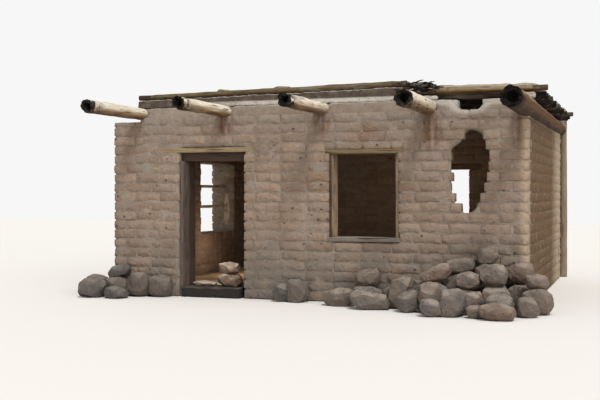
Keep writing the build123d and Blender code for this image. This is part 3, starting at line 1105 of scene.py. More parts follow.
@dataclass
class Brickwork:
    """Adobe bricks in running bond, two bricks deep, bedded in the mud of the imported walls.

    Lengths are in metres and angles in degrees.
    """

    wall_thickness: float = 0.39
    courses: int = 20
    course_height: float = 0.125
    joint: float = 0.02
    brick_length: float = 0.335
    brick_depth: float = 0.18
    edge_wear: float = 0.008
    corner_wear: float = 0.045
    dent: float = 0.0035
    sharp_edge: float = 50.0
    cuts: tuple[float, ...] = (-0.3, -0.1, 0.1, 0.3)
    variants: int = 4
    # A piece that is shorter than this share of a brick comes from the half mould.
    half_below: float = 0.65
    shortest_piece: float = 0.05
    thinnest_piece: float = 0.04
    joint_drift: float = 0.012
    tilt: float = 0.6
    yaw: float = 0.7
    proud: float = 0.005
    proud_drift: float = 0.003
    washed_courses: int = 1
    washed_back: tuple[float, float] = (0.004, 0.014)
    top_setback: float = 0.05
    hole_flare: float = 0.08
    seed: int = 11
    draw: random.Random = field(init=False)
    moulded: dict[Mould, list[Mesh]] = field(init=False, default_factory=dict)

    def __post_init__(self) -> None:
        """Seeds the brickwork's own source of chance."""
        self.draw = random.Random(self.seed)

    @property
    def brick_height(self) -> float:
        """A course less its mud joint."""
        return self.course_height - self.joint

    def shape(self, length: float, corner: int, variant: int) -> Mesh:
        """Models a worn brick.

        Args:
            length: Along the wall.
            corner: -1 or 1 where its left or right end is on a corner of the house, or 0.
            variant: Seeds the wear.

        Returns:
            The brick's mesh, its middle at the origin and its outer face towards -Y.
        """
        bpy.ops.mesh.primitive_cube_add(
            size=1, location=(0, 0, 0), scale=(length, self.brick_depth, self.brick_height)
        )
        brick = bpy.context.object
        bpy.ops.object.transform_apply(location=False, rotation=False, scale=True)
        open_mesh(brick)
        bpy.ops.mesh.select_mode(type="EDGE")
        if corner:
            mesh = bmesh.from_edit_mesh(brick.data)
            for edge in mesh.edges:
                middle = (edge.verts[0].co + edge.verts[1].co) / 2
                upright = abs(edge.verts[0].co.z - edge.verts[1].co.z) > self.brick_height / 2
                edge.select_set(upright and middle.x * corner > 0 and middle.y < 0)
            bmesh.update_edit_mesh(brick.data)
            bpy.ops.mesh.bevel(offset=self.corner_wear, segments=2, affect="EDGES")
        bpy.ops.mesh.select_all(action="DESELECT")
        bpy.ops.mesh.edges_select_sharp(sharpness=math.radians(self.sharp_edge))
        bpy.ops.mesh.bevel(offset=self.edge_wear, segments=1, affect="EDGES")
        cut_across(Grain.X, [length * share for share in self.cuts])
        cut_across(Grain.Z, [0.0])
        bpy.ops.mesh.select_all(action="SELECT")
        bpy.ops.transform.vertex_random(offset=self.dent, uniform=0.2, normal=0.8, seed=variant)
        close_mesh(brick, smooth_angle=self.sharp_edge)
        brick.name = brick.data.name = "adobe_brick"
        return settle(brick)

    def prepare(self) -> None:
        """Models the bricks that every wall repeats."""
        for number, mould in enumerate(Mould):
            share, corner = mould.value
            length = self.brick_length * share
            self.moulded[mould] = []
            for variant in range(self.variants):
                mesh = self.shape(length, corner, number * self.variants + variant)
                mesh["brick_size"] = (length, self.brick_depth, self.brick_height)
                self.moulded[mould].append(mesh)

    def lay(self, wall: Wall, brick: Brick, outer: bool, corner: int, proud: float) -> Object:
        """Lays one brick in a wall.

        Args:
            wall: The wall.
            brick: Its place on the wall.
            outer: Whether it is in the outer layer.
            corner: -1 or 1 on a corner of the house, or 0.
            proud: How far it stands out of the mud.

        Returns:
            The brick.
        """
        length = brick.end - brick.start
        mould = Mould.WHOLE
        if corner:
            mould = Mould.LEFT_CORNER if corner < 0 else Mould.RIGHT_CORNER
        elif length < self.brick_length * self.half_below:
            mould = Mould.HALF
        mesh = self.draw.choice(self.moulded[mould])
        size = mesh["brick_size"]
        middle = (brick.start + brick.end) / 2
        depth_middle = -(wall.face + proud - self.brick_depth / 2)
        if not outer:
            depth_middle = -(wall.face - self.wall_thickness - proud + self.brick_depth / 2)
        tilt = Matrix.Rotation(math.radians(self.draw.uniform(-self.tilt, self.tilt)), 4, "Y")
        yaw = Matrix.Rotation(math.radians(self.draw.uniform(-self.yaw, self.yaw)), 4, "Z")
        flip = Matrix.Identity(4) if outer else Matrix.Rotation(math.pi, 4, "Z")
        scale = Matrix.Diagonal((length / size[0], 1.0, (brick.top - brick.foot) / size[2], 1.0))
        place = Matrix.Translation((middle, depth_middle, (brick.foot + brick.top) / 2))
        turn = Matrix.Rotation(math.radians(wall.turn), 4, "Z")
        return own_copy(mesh, turn @ place @ yaw @ tilt @ flip @ scale, self.draw.random())

    def course_bricks(self, wall: Wall, course: int, outer: bool) -> Iterator[tuple[Brick, int]]:
        """The bricks of one course of a wall.

        Args:
            wall: The wall.
            course: Counted from the ground.
            outer: Whether it is the outer layer.

        Yields:
            Each brick and the corner of the house that it is on.
        """
        whole = wall.starts_whole == (course % 2 == 0)
        reach = wall.half_length + self.proud
        if not outer:
            reach = wall.half_length - self.wall_thickness / (1 if whole else 2)
        elif not whole:
            reach = wall.half_length - self.brick_depth - self.joint
        foot = course * self.course_height + self.joint / 2
        top = foot + self.brick_height
        flare = 0.0 if outer else self.hole_flare
        gaps = wall.gaps + list(wall.broken_gaps(foot, top, flare, self.draw))
        count = round(2 * reach / (self.brick_length + self.joint))
        pitch = 2 * reach / count
        joints = [-reach + pitch * number for number in range(count + 1)]
        drift = self.joint_drift
        joints[1:-1] = [joint + self.draw.uniform(-drift, drift) for joint in joints[1:-1]]
        for number in range(count):
            start = joints[number] + (self.joint / 2 if number else 0)
            end = joints[number + 1] - (self.joint / 2 if number < count - 1 else 0)
            pieces = [Brick(start, end, foot, top)]
            for gap in gaps:
                pieces = [
                    left
                    for piece in pieces
                    for left in piece.around(gap, self.shortest_piece, self.thinnest_piece)
                ]
            for piece in pieces:
                corner = 0
                if outer and whole and piece.start == -reach:
                    corner = -1
                elif outer and whole and piece.end == reach:
                    corner = 1
                yield piece, corner

    def build(self, wall: Wall, finish: Material) -> None:
        """Lays a wall's bricks and dresses them.

        Args:
            wall: The wall.
            finish: The bricks' finish.
        """
        bricks = []
        for course in range(self.courses):
            washed = course >= self.courses - self.washed_courses
            for outer in (True, False):
                for brick, corner in self.course_bricks(wall, course, outer):
                    proud = self.proud + self.draw.uniform(-self.proud_drift, self.proud_drift)
                    if washed:
                        proud -= self.draw.uniform(*self.washed_back)
                    if wall.worn_top and outer and course == self.courses - 1:
                        proud -= self.top_setback
                    bricks.append(self.lay(wall, brick, outer, corner, proud))
        piece = join_pieces(bricks, f"{wall.name}_bricks")
        roughen(piece, size=0.11, depth=0.012)
        roughen(piece, size=0.035, depth=0.005)
        hand_over(piece, finish, Slot.ADOBE)


@dataclass
class MudWork:
    """The mud of the walls, its bands under the edge poles, the floor and the roof's earth.

    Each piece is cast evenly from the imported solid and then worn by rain.
    """

    wall_grid: float = 0.032
    band_grid: float = 0.014
    floor_grid: float = 0.055
    roof_grid: float = 0.038

    def cast(self, node: str, name: str, grid: float) -> Object:
        """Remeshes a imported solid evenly.

        Args:
            node: The CAD node.
            name: The new piece's name.
            grid: How far apart its points are, in metres.

        Returns:
            The piece.
        """
        piece = copy_node(node, name)
        apply_modifier(
            piece, "REMESH", mode="VOXEL", voxel_size=grid, adaptivity=0.0, use_smooth_shade=True
        )
        return piece

    def build(self) -> None:
        """Builds and dresses all the mud work."""
        mortar = MudMortar().material()
        # The right wall's mud is browner, and painted darker as shade.
        shaded_brown = MudMortar(
            name="shaded_brown_mud_mortar",
            silt="#674F36",
            pale_silt="#6B5338",
            brown_silt="#5E4731",
            washed_and_sunlit_ledge="#8B7864",
            damp="#5C4934",
            rain_brown="#604A35",
            relief=4.0,
        ).material()
        for node in ("front_wall", "back_wall", "left_wall", "right_wall"):
            wall = self.cast(node, f"{node}_mud", self.wall_grid)
            roughen(wall, size=0.45, depth=0.014)
            roughen(wall, size=0.09, depth=0.012)
            hand_over(wall, shaded_brown if node == "right_wall" else mortar, Slot.ADOBE, node)
        clods = MudMortar(
            name="grey_mud_band",
            silt="#51463E",
            pale_silt="#72675D",
            brown_silt="#453A32",
            washed_and_sunlit_ledge="#BCB5AB",
            streak=0.9,
        ).material()
        for node in ("front_mud_band", "rear_mud_band"):
            band = self.cast(node, f"{node}_clods", self.band_grid)
            roughen(band, size=0.3, depth=0.03)
            roughen(band, size=0.06, depth=0.022)
            hand_over(band, clods, Slot.EARTH, node)
        floor = self.cast("packed_earth_floor", "beaten_floor", self.floor_grid)
        roughen(floor, size=0.5, depth=0.016, direction="Z")
        hand_over(floor, PackedEarth().material(), Slot.EARTH, "packed_earth_floor")
        roof = self.cast("roof_earth", "roof_soil", self.roof_grid)
        roughen(roof, size=0.7, depth=0.04, direction="Z")
        roughen(roof, size=0.12, depth=0.03)
        hand_over(roof, RoofSoil().material(), Slot.EARTH, "roof_earth")


@dataclass
class Viga:
    """One roof log.

    Its front and rear are where its axis crosses the walls' outer faces, from the left corner. Its
    butt and tip are diameters, its reaches are how far it stands out in front and behind, and its
    bow is how far its middle bends to the right.
    """

    node: str
    front: float
    rear: float
    butt: float
    tip: float
    front_reach: float
    rear_reach: float
    bow: float


@dataclass
class LogEnd:
    """A cut end of a log: its middle, the direction into the log and the log's radius there."""

    middle: Vector
    inward: Vector
    radius: float

    def depth(self, point: Vector) -> float:
        """How far into the log a point is."""
        return (point - self.middle).dot(self.inward)


@dataclass
class Logs:
    """The vigas that carry the roof, and the post at the rear corner."""

    half_width: float = HALF_WIDTH
    half_depth: float = HALF_DEPTH
    wall_top: float = WALL_TOP
    sides: int = 36
    step: float = 0.09
    butt_step: float = 0.035
    butt_steps: int = 8
    smooth_angle: float = 55.0
    rotten_length: float = 0.34
    hollow_share: float = 0.62
    hollow_depth: float = 0.12
    hollow_taper: float = 0.6
    rim_share: float = 0.6
    rim_depth: float = 0.015
    # The face of a cut end has its middle this near the axis, as a share of the log's radius.
    end_reach: float = 0.2
    # A face is all rot down to this many depths of the hollow, where its normal is this nearly in
    # line with the log or it lies within this share of the radius. Further in, the rot fades from
    # this tone.
    rot_depth: float = 1.5
    rot_facing: float = 0.6
    rot_width: float = 0.8
    rot_behind: float = 0.5
    wear_range: tuple[float, float] = (0.8, 1.2)
    post_steps: int = 34
    post_fill: float = 0.94
    post_taper: float = 0.1
    post_sway: float = 0.003
    post_bends: tuple[float, float] = (5, 7)
    seed: int = 23
    vigas: tuple[Viga, ...] = (
        Viga("viga_1", 0.404, 0.415, 0.160, 0.140, 1.360, 0.380, 0.014),
        Viga("viga_2", 1.623, 1.605, 0.156, 0.134, 1.375, 0.350, -0.026),
        Viga("viga_3", 2.952, 2.970, 0.160, 0.142, 1.350, 0.400, 0.030),
        Viga("viga_4", 4.312, 4.296, 0.195, 0.168, 1.365, 0.360, -0.022),
        Viga("viga_5", 5.473, 5.469, 0.240, 0.205, 1.340, 0.150, 0.0),
    )

    def middle(self, viga: Viga, y: float) -> tuple[Vector, float]:
        """Measures a viga at a place along the house.

        Args:
            viga: The viga.
            y: The place.

        Returns:
            The point on its axis, and its radius there.
        """
        butt_y = -self.half_depth - viga.front_reach
        tip_y = self.half_depth + viga.rear_reach
        radius = (viga.butt + (viga.tip - viga.butt) * (y - butt_y) / (tip_y - butt_y)) / 2
        share = (y + self.half_depth) / (2 * self.half_depth)
        bow = viga.bow * math.sin(math.pi * share) if 0 < share < 1 else 0.0
        x = viga.front - self.half_width + (viga.rear - viga.front) * share + bow
        return Vector((x, y, self.wall_top - radius)), radius

    def grow(self, name: str, stations: list[tuple[Vector, float]]) -> Object:
        """Extrudes a round log along its stations.

        Args:
            name: The log's name.
            stations: The axis point and radius at each step, the first at its butt.

        Returns:
            The log, closed at both ends and in edit mode.
        """
        start, radius = stations[0]
        direction = (stations[-1][0] - start).normalized()
        bpy.ops.mesh.primitive_circle_add(
            vertices=self.sides,
            radius=radius,
            fill_type="NGON",
            location=start,
            rotation=direction.to_track_quat("-Z", "Y").to_euler(),
        )
        piece = bpy.context.object
        piece.name = piece.data.name = name
        bpy.ops.object.transform_apply(location=True, rotation=True, scale=True)
        open_mesh(piece)
        bpy.ops.mesh.select_all(action="SELECT")
        for (here, thick), (there, thin) in zip(stations, stations[1:]):
            bpy.ops.mesh.extrude_region_move(TRANSFORM_OT_translate={"value": there - here})
            ratio = thin / thick
            bpy.ops.transform.resize(value=(ratio,) * 3, center_override=there)
        bpy.ops.mesh.select_all(action="SELECT")
        bpy.ops.mesh.normals_make_consistent(inside=False)
        return piece

    def hollow(self, piece: Object, end: LogEnd) -> None:
        """Hollows a log's open-grained end.

        Args:
            piece: The log, in edit mode.
            end: The end.
        """
        near = end.radius * self.end_reach
        pick_faces(piece, lambda middle: (middle - end.middle).length < near)
        rim = end.radius * (1 - self.hollow_share)
        bpy.ops.mesh.inset(thickness=rim * self.rim_share)
        dip = end.inward * self.rim_depth
        bpy.ops.mesh.extrude_region_move(TRANSFORM_OT_translate={"value": dip})
        bpy.ops.mesh.inset(thickness=rim * (1 - self.rim_share))
        depth = end.inward * self.hollow_depth
        bpy.ops.mesh.extrude_region_move(TRANSFORM_OT_translate={"value": depth})
        taper = (self.hollow_taper,) * 3
        bpy.ops.transform.resize(value=taper, center_override=end.middle + depth)
        bpy.ops.mesh.poke()

    def mark_ends(self, piece: Object, ends: list[LogEnd]) -> None:
        """Writes the tone that shows rot: full on cut faces and in hollows, and fading behind them.

        Args:
            piece: The log.
            ends: Its cut ends.
        """
        tones = piece.data.attributes.new("tone", "FLOAT", "FACE")
        values = []
        for face in piece.data.polygons:
            tone = 0.0
            for end in ends:
                depth = end.depth(face.center)
                aside = (face.center - end.middle - end.inward * depth).length
                cut = abs(face.normal.dot(end.inward)) > self.rot_facing
                inside = aside < end.radius * self.rot_width
                if depth < self.hollow_depth * self.rot_depth and (cut or inside):
                    tone = 1.0
                elif depth < self.rotten_length:
                    tone = max(tone, self.rot_behind * (1 - depth / self.rotten_length))
            values.append(tone)
        tones.data.foreach_set("value", values)

    def wear(self, piece: Object, ends: list[LogEnd], amount: float) -> None:
        """Gives a log its knots, drying grooves and ragged ends.

        Args:
            piece: The log.
            ends: Its cut ends.
            amount: How worn it is, where 1 is as worn as most.
        """
        group = piece.vertex_groups.new(name="ends")
        for end in ends:
            for vertex in piece.data.vertices:
                depth = end.depth(vertex.co)
                if depth < self.rotten_length:
                    group.add([vertex.index], 1 - max(depth, 0) / self.rotten_length, "REPLACE")
        roughen(piece, size=0.22, depth=0.022 * amount, stretch=Grain.Y.stretch(1.6))
        roughen(piece, size=0.028, depth=0.010 * amount, stretch=Grain.Y.stretch(14.0))
        roughen(piece, size=0.06, depth=0.05, stretch=Grain.Y.stretch(2.0), group="ends")
        roughen(piece, size=0.04, depth=0.10, direction="Y", group="ends")

    def build(self) -> None:
        """Builds and dresses the vigas and the post."""
        draw = random.Random(self.seed)
        bleached_and_sunlit = PeeledLog().material()
        brown = PeeledLog(
            name="brown_cottonwood_log",
            bleached_and_sunlit="#A68A69",
            bleached_and_sunlit_from=0.15,
            heartwood="#5E3F22",
            fibre_and_underside_shade="#2E1F14",
            grey="#6B4C30",
        ).material()
        for viga in self.vigas:
            butt_y = -self.half_depth - viga.front_reach
            tip_y = self.half_depth + viga.rear_reach
            places = [butt_y + self.butt_step * number for number in range(self.butt_steps + 1)]
            sound_from = places[-1]
            count = round((tip_y - sound_from) / self.step)
            pitch = (tip_y - sound_from) / count
            places += [sound_from + pitch * number for number in range(1, count + 1)]
            stations = [self.middle(viga, y) for y in places]
            piece = self.grow(f"{viga.node}_log", stations)
            ends = [
                LogEnd(stations[0][0], Vector((0, 1, 0)), stations[0][1]),
                LogEnd(stations[-1][0], Vector((0, -1, 0)), stations[-1][1]),
            ]
            for end in ends:
                self.hollow(piece, end)
            close_mesh(piece, self.smooth_angle)
            self.mark_ends(piece, ends)
            self.wear(piece, ends, draw.uniform(*self.wear_range))
            finish = brown if viga.node == "viga_5" else bleached_and_sunlit
            hand_over(piece, finish, Slot.LOG, viga.node)
        self.build_post()

    def build_post(self) -> None:
        """Builds and dresses the post at the rear corner."""
        low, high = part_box("rear_corner_post")
        middle = (low + high) / 2
        radius = (high.x - low.x) / 2 * self.post_fill
        stations = []
        for number in range(self.post_steps + 1):
            share = number / self.post_steps
            aside = math.sin(self.post_bends[0] * share) * self.post_sway
            back = math.cos(self.post_bends[1] * share) * self.post_sway
            at = Vector((middle.x, middle.y, low.z + (high.z - low.z) * share))
            at += Vector((aside, back, 0))
            stations.append((at, radius * (1.0 - self.post_taper * share)))
        piece = self.grow("rear_corner_pole", stations)
        close_mesh(piece, self.smooth_angle)
        self.mark_ends(piece, [LogEnd(stations[-1][0], Vector((0, 0, -1)), radius)])
        roughen(piece, size=0.2, depth=0.010, stretch=Grain.Z.stretch(1.6))
        roughen(piece, size=0.022, depth=0.006, stretch=Grain.Z.stretch(14.0))
        finish = PeeledLog(
            name="grey_juniper_post",
            grain=Grain.Z,
            bleached_and_sunlit="#8C7A66",
            heartwood="#75634F",
            fibre_and_underside_shade="#4F4238",
            rot="#3E342A",
        )
        hand_over(piece, finish.material(), Slot.TIMBER, "rear_corner_post")


@dataclass
class RoofPoles:
    """The latillas across the vigas and the edge poles on the mud bands."""

    sides: int = 12
    edge_sides: int = 18
    step: float = 0.22
    edge_step: float = 0.09
    edge_diameter: float = 0.088
    long_pole_rise: float = 0.066
    latilla_models: int = 4
    latilla_length: float = 5.4
    latilla_diameter: float = 0.086
    taper: float = 0.8
    knots: float = 0.07
    crook: float = 0.03
    smooth_angle: float = 60.0
    seed: int = 31

    def model_pole(
        self, name: str, length: float, diameter: float, sides: int, step: float, draw: random.Random
    ) -> Mesh:
        """Models a crooked pole along X with its middle at the origin.

        Args:
            name: Its name.
            length: Its length.
            diameter: Its butt's diameter.
            sides: How many sides it has.
            step: How far apart its stations are.
            draw: The source of chance for its crooks and knots.

        Returns:
            The pole's mesh, its butt at -X.
        """
        count = round(length / step)
        stations = []
        for number in range(count + 1):
            share = number / count
            radius = diameter / 2 * (1 - (1 - self.taper) * share)
            radius *= 1 + self.knots * draw.uniform(-1, 1)
            sway = Vector((0, draw.uniform(-1, 1), draw.uniform(-1, 1))) * diameter * self.crook
            stations.append((Vector((length * (share - 0.5), 0, 0)) + sway, radius))
        logs = Logs(sides=sides)
        pole = logs.grow(name, stations)
        close_mesh(pole, self.smooth_angle)
        ends = [
            LogEnd(stations[0][0], Vector((1, 0, 0)), diameter / 2),
            LogEnd(stations[-1][0], Vector((-1, 0, 0)), diameter / 2),
        ]
        logs.mark_ends(pole, ends)
        roughen(pole, size=0.025, depth=0.005, stretch=Grain.X.stretch(14.0))
        return settle(pole)

    def lay(self, mesh: Mesh, solid: Box, length: float, diameter: float, turned: bool) -> Object:
        """Lays a copy of a pole where a packed pole is.

        Args:
            mesh: The pole's mesh.
            solid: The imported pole's corners.
            length: The mesh's length.
            diameter: The mesh's butt diameter.
            turned: Whether its butt is at +X.

        Returns:
            The pole.
        """
        low, high = solid
        width = (high.z - low.z) / diameter
        place = Matrix.Translation((low + high) / 2)
        turn = Matrix.Rotation(math.pi if turned else 0.0, 4, "Z")
        scale = Matrix.Diagonal(((high.x - low.x) / length, width, width, 1.0))
        return own_copy(mesh, place @ turn @ scale)

    def build_latillas(self, draw: random.Random, finish: Material) -> None:
        """Builds and dresses the rows of poles that carry the roof's earth.

        Args:
            draw: The source of chance.
            finish: Their finish.
        """
        length, diameter = self.latilla_length, self.latilla_diameter
        models = [
            self.model_pole("latilla", length, diameter, self.sides, self.step, draw)
            for _ in range(self.latilla_models)
        ]
        solids = sorted((box_of(solid) for solid in pop_solids("latillas")), key=lambda box: box[0].y)
        poles = [
            self.lay(models[row % len(models)], solid, length, diameter, row % 2 == 1)
            for row, solid in enumerate(solids)
        ]
        hand_over(join_pieces(poles, "latilla_poles"), finish, Slot.POLE, "latillas")

    def build_edge_pole(
        self, node: str, long_pole: bool, draw: random.Random, finish: Material
    ) -> None:
        """Builds and dresses an edge pole.

        Args:
            node: Its CAD node.
            long_pole: Whether it is a long pole, which rises to the right and has its butt there.
            draw: The source of chance.
            finish: Its finish.
        """
        low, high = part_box(node)
        length = high.x - low.x
        diameter = self.edge_diameter
        mesh = self.model_pole(node, length, diameter, self.edge_sides, self.edge_step, draw)
        middle = (low.z + high.z) / 2
        low.z = middle - diameter / 2
        high.z = middle + diameter / 2
        pole = self.lay(mesh, (low, high), length, diameter, long_pole)
        rise = self.long_pole_rise if long_pole else 0.0
        slope = Matrix.Rotation(-math.atan2(rise, length), 4, "Y")
        shift = Matrix.Translation((low + high) / 2)
        pole.data.transform(shift @ slope @ shift.inverted())
        pole.name = pole.data.name = f"{node}_wood"
        hand_over(pole, finish, Slot.POLE, node)

    def build(self) -> None:
        """Builds and dresses all the roof's poles."""
        draw = random.Random(self.seed)
        willow = PeeledLog(grain=Grain.X, ring_width=5.0, crack_width=11.0)
        brown = replace(
            willow,
            name="brown_willow_pole",
            bleached_and_sunlit="#68593F",
            heartwood="#54442F",
            fibre_and_underside_shade="#382A1C",
            rot="#3A2E24",
        ).material()
        bleached_and_sunlit = replace(
            willow,
            name="bleached_willow_pole",
            bleached_and_sunlit="#8F8269",
            heartwood="#644519",
            fibre_and_underside_shade="#3C280C",
            grey="#7A6238",
            rot="#4A3D30",
        ).material()
        shaded = replace(
            willow,
            name="shaded_willow_pole",
            bleached_and_sunlit="#4C3F31",
            heartwood="#3D3125",
            fibre_and_underside_shade="#291E15",
            rot="#1B140F",
        ).material()
        self.build_latillas(draw, shaded)
        for edge in ("front", "rear"):
            self.build_edge_pole(f"{edge}_edge_pole_left", True, draw, brown)
            self.build_edge_pole(f"{edge}_edge_pole_right", False, draw, bleached_and_sunlit)


@dataclass
class Timber:
    """The boards and beams of the doorways and windows."""

    edge_wear: float = 0.004
    sharp_edge: float = 50.0
    smooth_angle: float = 40.0
    spacing_along: float = 0.07
    spacing_across: float = 0.03
    plank_gap: float = 0.004

    def saw(self, low: Vector, high: Vector, grain: Grain, tone: float) -> Object:
        """Models one worn plank.

        Args:
            low: Its lowest corner.
            high: Its highest corner.
            grain: The axis along its length.
            tone: From 0, brown, to 1, silvered.

        Returns:
            The plank.
        """
        size = high - low
        bpy.ops.mesh.primitive_cube_add(size=1, location=(low + high) / 2, scale=size)
        plank = bpy.context.object
        bpy.ops.object.transform_apply(location=True, rotation=True, scale=True)
        open_mesh(plank)
        bpy.ops.mesh.select_mode(type="EDGE")
        bpy.ops.mesh.edges_select_sharp(sharpness=math.radians(self.sharp_edge))
        bpy.ops.mesh.bevel(offset=self.edge_wear, segments=2, affect="EDGES")
        for axis in Grain:
            spacing = self.spacing_along if axis == grain else self.spacing_across
            length = size[axis.value]
            count = max(2, round(length / spacing))
            cuts = [low[axis.value] + length * number / count for number in range(1, count)]
            cut_across(axis, cuts)
        close_mesh(plank, self.smooth_angle)
        roughen(plank, size=0.035, depth=0.006, stretch=grain.stretch(9.0))
        roughen(plank, size=0.3, depth=0.005)
        set_tone(plank.data, tone)
        return plank

    def build_one(
        self, node: str, grain: Grain, finish: Material, tones: list[float], across: Grain
    ) -> None:
        """Builds the planks that stand for a packed board, and dresses them.

        Args:
            node: The CAD node.
            grain: The axis along the boards.
            finish: Their finish.
            tones: The tone of each of the planks that lie side by side.
            across: The axis that they lie side by side along.
        """
        planks = []
        for solid in pop_solids(node):
            low, high = box_of(solid)
            width = (high[across.value] - low[across.value]) / len(tones)
            for number, tone in enumerate(tones):
                plank_low, plank_high = low.copy(), high.copy()
                plank_low[across.value] += width * number + self.plank_gap / 2
                plank_high[across.value] = low[across.value] + width * (number + 1)
                plank_high[across.value] -= self.plank_gap / 2
                planks.append(self.saw(plank_low, plank_high, grain, tone))
        hand_over(join_pieces(planks, f"{node}_planks"), finish, Slot.TIMBER, node)

    def build(self) -> None:
        """Builds and dresses every board."""
        pale = {
            grain: OldBoard(name=f"silvered_pine_board_{grain.name.lower()}", grain=grain).material()
            for grain in (Grain.X, Grain.Y)
        }
        lintel = OldBoard(
            name="tan_pine_plank",
            grain=Grain.X,
            wood="#A18B6E",
            silver="#B3A083",
            front_wear_and_shade="#94805F",
        ).material()
        window_lintel = OldBoard(
            name="brown_pine_plank",
            grain=Grain.X,
            wood="#877256",
            silver="#978265",
            dark_grain="#6B5A45",
            front_wear_and_shade="#7A684D",
        ).material()
        sill = OldBoard(
            name="washed_grey_sill",
            grain=Grain.X,
            wood="#91877E",
            silver="#A0978E",
            stain_colour="#8A8078",
            front_wear_and_shade="#756B62",
        ).material()
        # The door's head and jambs: dark wood with painted shade, the head's front face darkest.
        dark = {
            grain: OldBoard(
                name=f"dark_shaded_board_{grain.name.lower()}",
                grain=grain,
                wood="#4A392C",
                silver="#75655A",
                dark_grain="#3B3029",
                stain_colour="#544840",
                front_wear_and_shade=edge,
            ).material()
            for grain, edge in ((Grain.X, "#46382F"), (Grain.Z, "#665B55"))
        }
        # The left jamb's front face is painted near black, as painted shadow in the gap beside the
        # bricks.
        window = [
            OldBoard(name=name, wood="#AE9273", silver="#C2A785", front_wear_and_shade=edge).material()
            for name, edge in (("window_pine_board", "#2B2624"), ("window_pale_board", "#84745F"))
        ]
        bar = OldBoard(
            name="bleached_window_bar",
            grain=Grain.Y,
            wood="#D8CCB8",
            silver="#E5DACA",
            dark_grain="#A39480",
            stain_colour="#B5A690",
            front_wear_and_shade="#E0D4C2",
        ).material()
        for node, grain, finish, tones, across in (
            ("door_lintel", Grain.X, lintel, [0.7, 0.2, 0.5], Grain.Y),
            ("door_head", Grain.X, dark[Grain.X], [0.9, 0.3], Grain.Y),
            ("door_jamb_left", Grain.Z, dark[Grain.Z], [1.0, 0.0], Grain.Y),
            ("door_jamb_right", Grain.Z, dark[Grain.Z], [1.0, 0.0], Grain.Y),
            ("window_lintel", Grain.X, window_lintel, [0.3, 0.6, 0.1], Grain.Y),
            ("window_sill", Grain.X, sill, [0.8, 0.4], Grain.Y),
            ("window_jamb_left", Grain.Z, window[0], [0.6], Grain.Y),
            ("window_jamb_right", Grain.Z, window[1], [0.4], Grain.Y),
            ("left_window_lintel", Grain.Y, pale[Grain.Y], [0.2, 0.7, 0.4], Grain.X),
            ("left_window_bars", Grain.Y, bar, [0.6], Grain.X),
            ("rear_door_lintel", Grain.X, pale[Grain.X], [0.5, 0.9, 0.3], Grain.Y),
        ):
            self.build_one(node, grain, finish, tones, across)


@dataclass
class Stones:
    """The field stones at the walls, in the doorway and on the roof, and the threshold."""

    grid: float = 0.018
    lump: float = 0.16
    lump_depth: float = 0.035
    facets_kept: float = 0.026
    edge_wear: float = 0.012
    worn_edge: float = 15.0
    grit: float = 0.03
    grit_depth: float = 0.012
    smooth_angle: float = 24.0
    seed: int = 53

    def weather(self, stone: Object, tone: float, scale: float) -> None:
        """Casts one stone evenly, breaks it into facets with worn edges, and pits it.

        Args:
            stone: The stone's solid.
            tone: Which of the stones' colours it has.
            scale: How large it is beside a stone of the bank.
        """
        apply_modifier(stone, "REMESH", mode="VOXEL", voxel_size=self.grid * scale)
        roughen(stone, size=self.lump * scale, depth=self.lump_depth * scale)
        apply_modifier(stone, "DECIMATE", ratio=self.facets_kept)
        width, angle = self.edge_wear * scale, math.radians(self.worn_edge)
        apply_modifier(stone, "BEVEL", width=width, segments=1, angle_limit=angle)
        apply_modifier(stone, "SUBSURF", subdivision_type="SIMPLE", levels=2, render_levels=2)
        roughen(stone, size=self.grit, depth=self.grit_depth * scale)
        set_tone(stone.data, tone)
        select_only(stone)
        bpy.ops.object.shade_smooth_by_angle(angle=math.radians(self.smooth_angle))

    def build(self) -> None:
        """Builds and dresses every stone."""
        draw = random.Random(self.seed)
        tuff = FieldStone().material()
        # A darker copy of the tuff, as painted shade, for the rubble at the left corner and the stone
        # beside the door.
        shaded_tuff = FieldStone(
            name="shaded_dark_tuff",
            tan="#5F554D",
            rust="#5F4E47",
            grey="#514E4C",
            sunlit_top="#80776D",
        ).material()
        # A paler copy for the doorway stones: paler stone, with painted sunlight on their tops.
        pale = FieldStone(
            name="pale_sunlit_doorway_tuff", tan="#86705A", grey="#7A6A5C", sunlit_top="#CFC0AC"
        ).material()
        # Painted shade: the threshold is a near black stone, as the step lies in shadow.
        slab = FieldStone(
            name="shaded_threshold_slab",
            tan="#2B2724",
            rust="#272220",
            grey="#292624",
            sunlit_top="#5A524B",
            crystal="#453F3A",
        ).material()
        for node, scale, finish in (
            ("front_stone_bank", 1.0, tuff),
            ("left_corner_rubble", 1.0, shaded_tuff),
            ("door_side_stone", 0.9, shaded_tuff),
            ("doorway_stones", 0.7, pale),
            ("roof_stones", 0.5, tuff),
            ("threshold_stone", 0.6, slab),
        ):
            stones = split_loose(copy_node(node, "stone"))
            for stone in stones:
                self.weather(stone, draw.random(), scale)
            hand_over(join_pieces(stones, f"{node}_rocks"), finish, Slot.STONE, node)


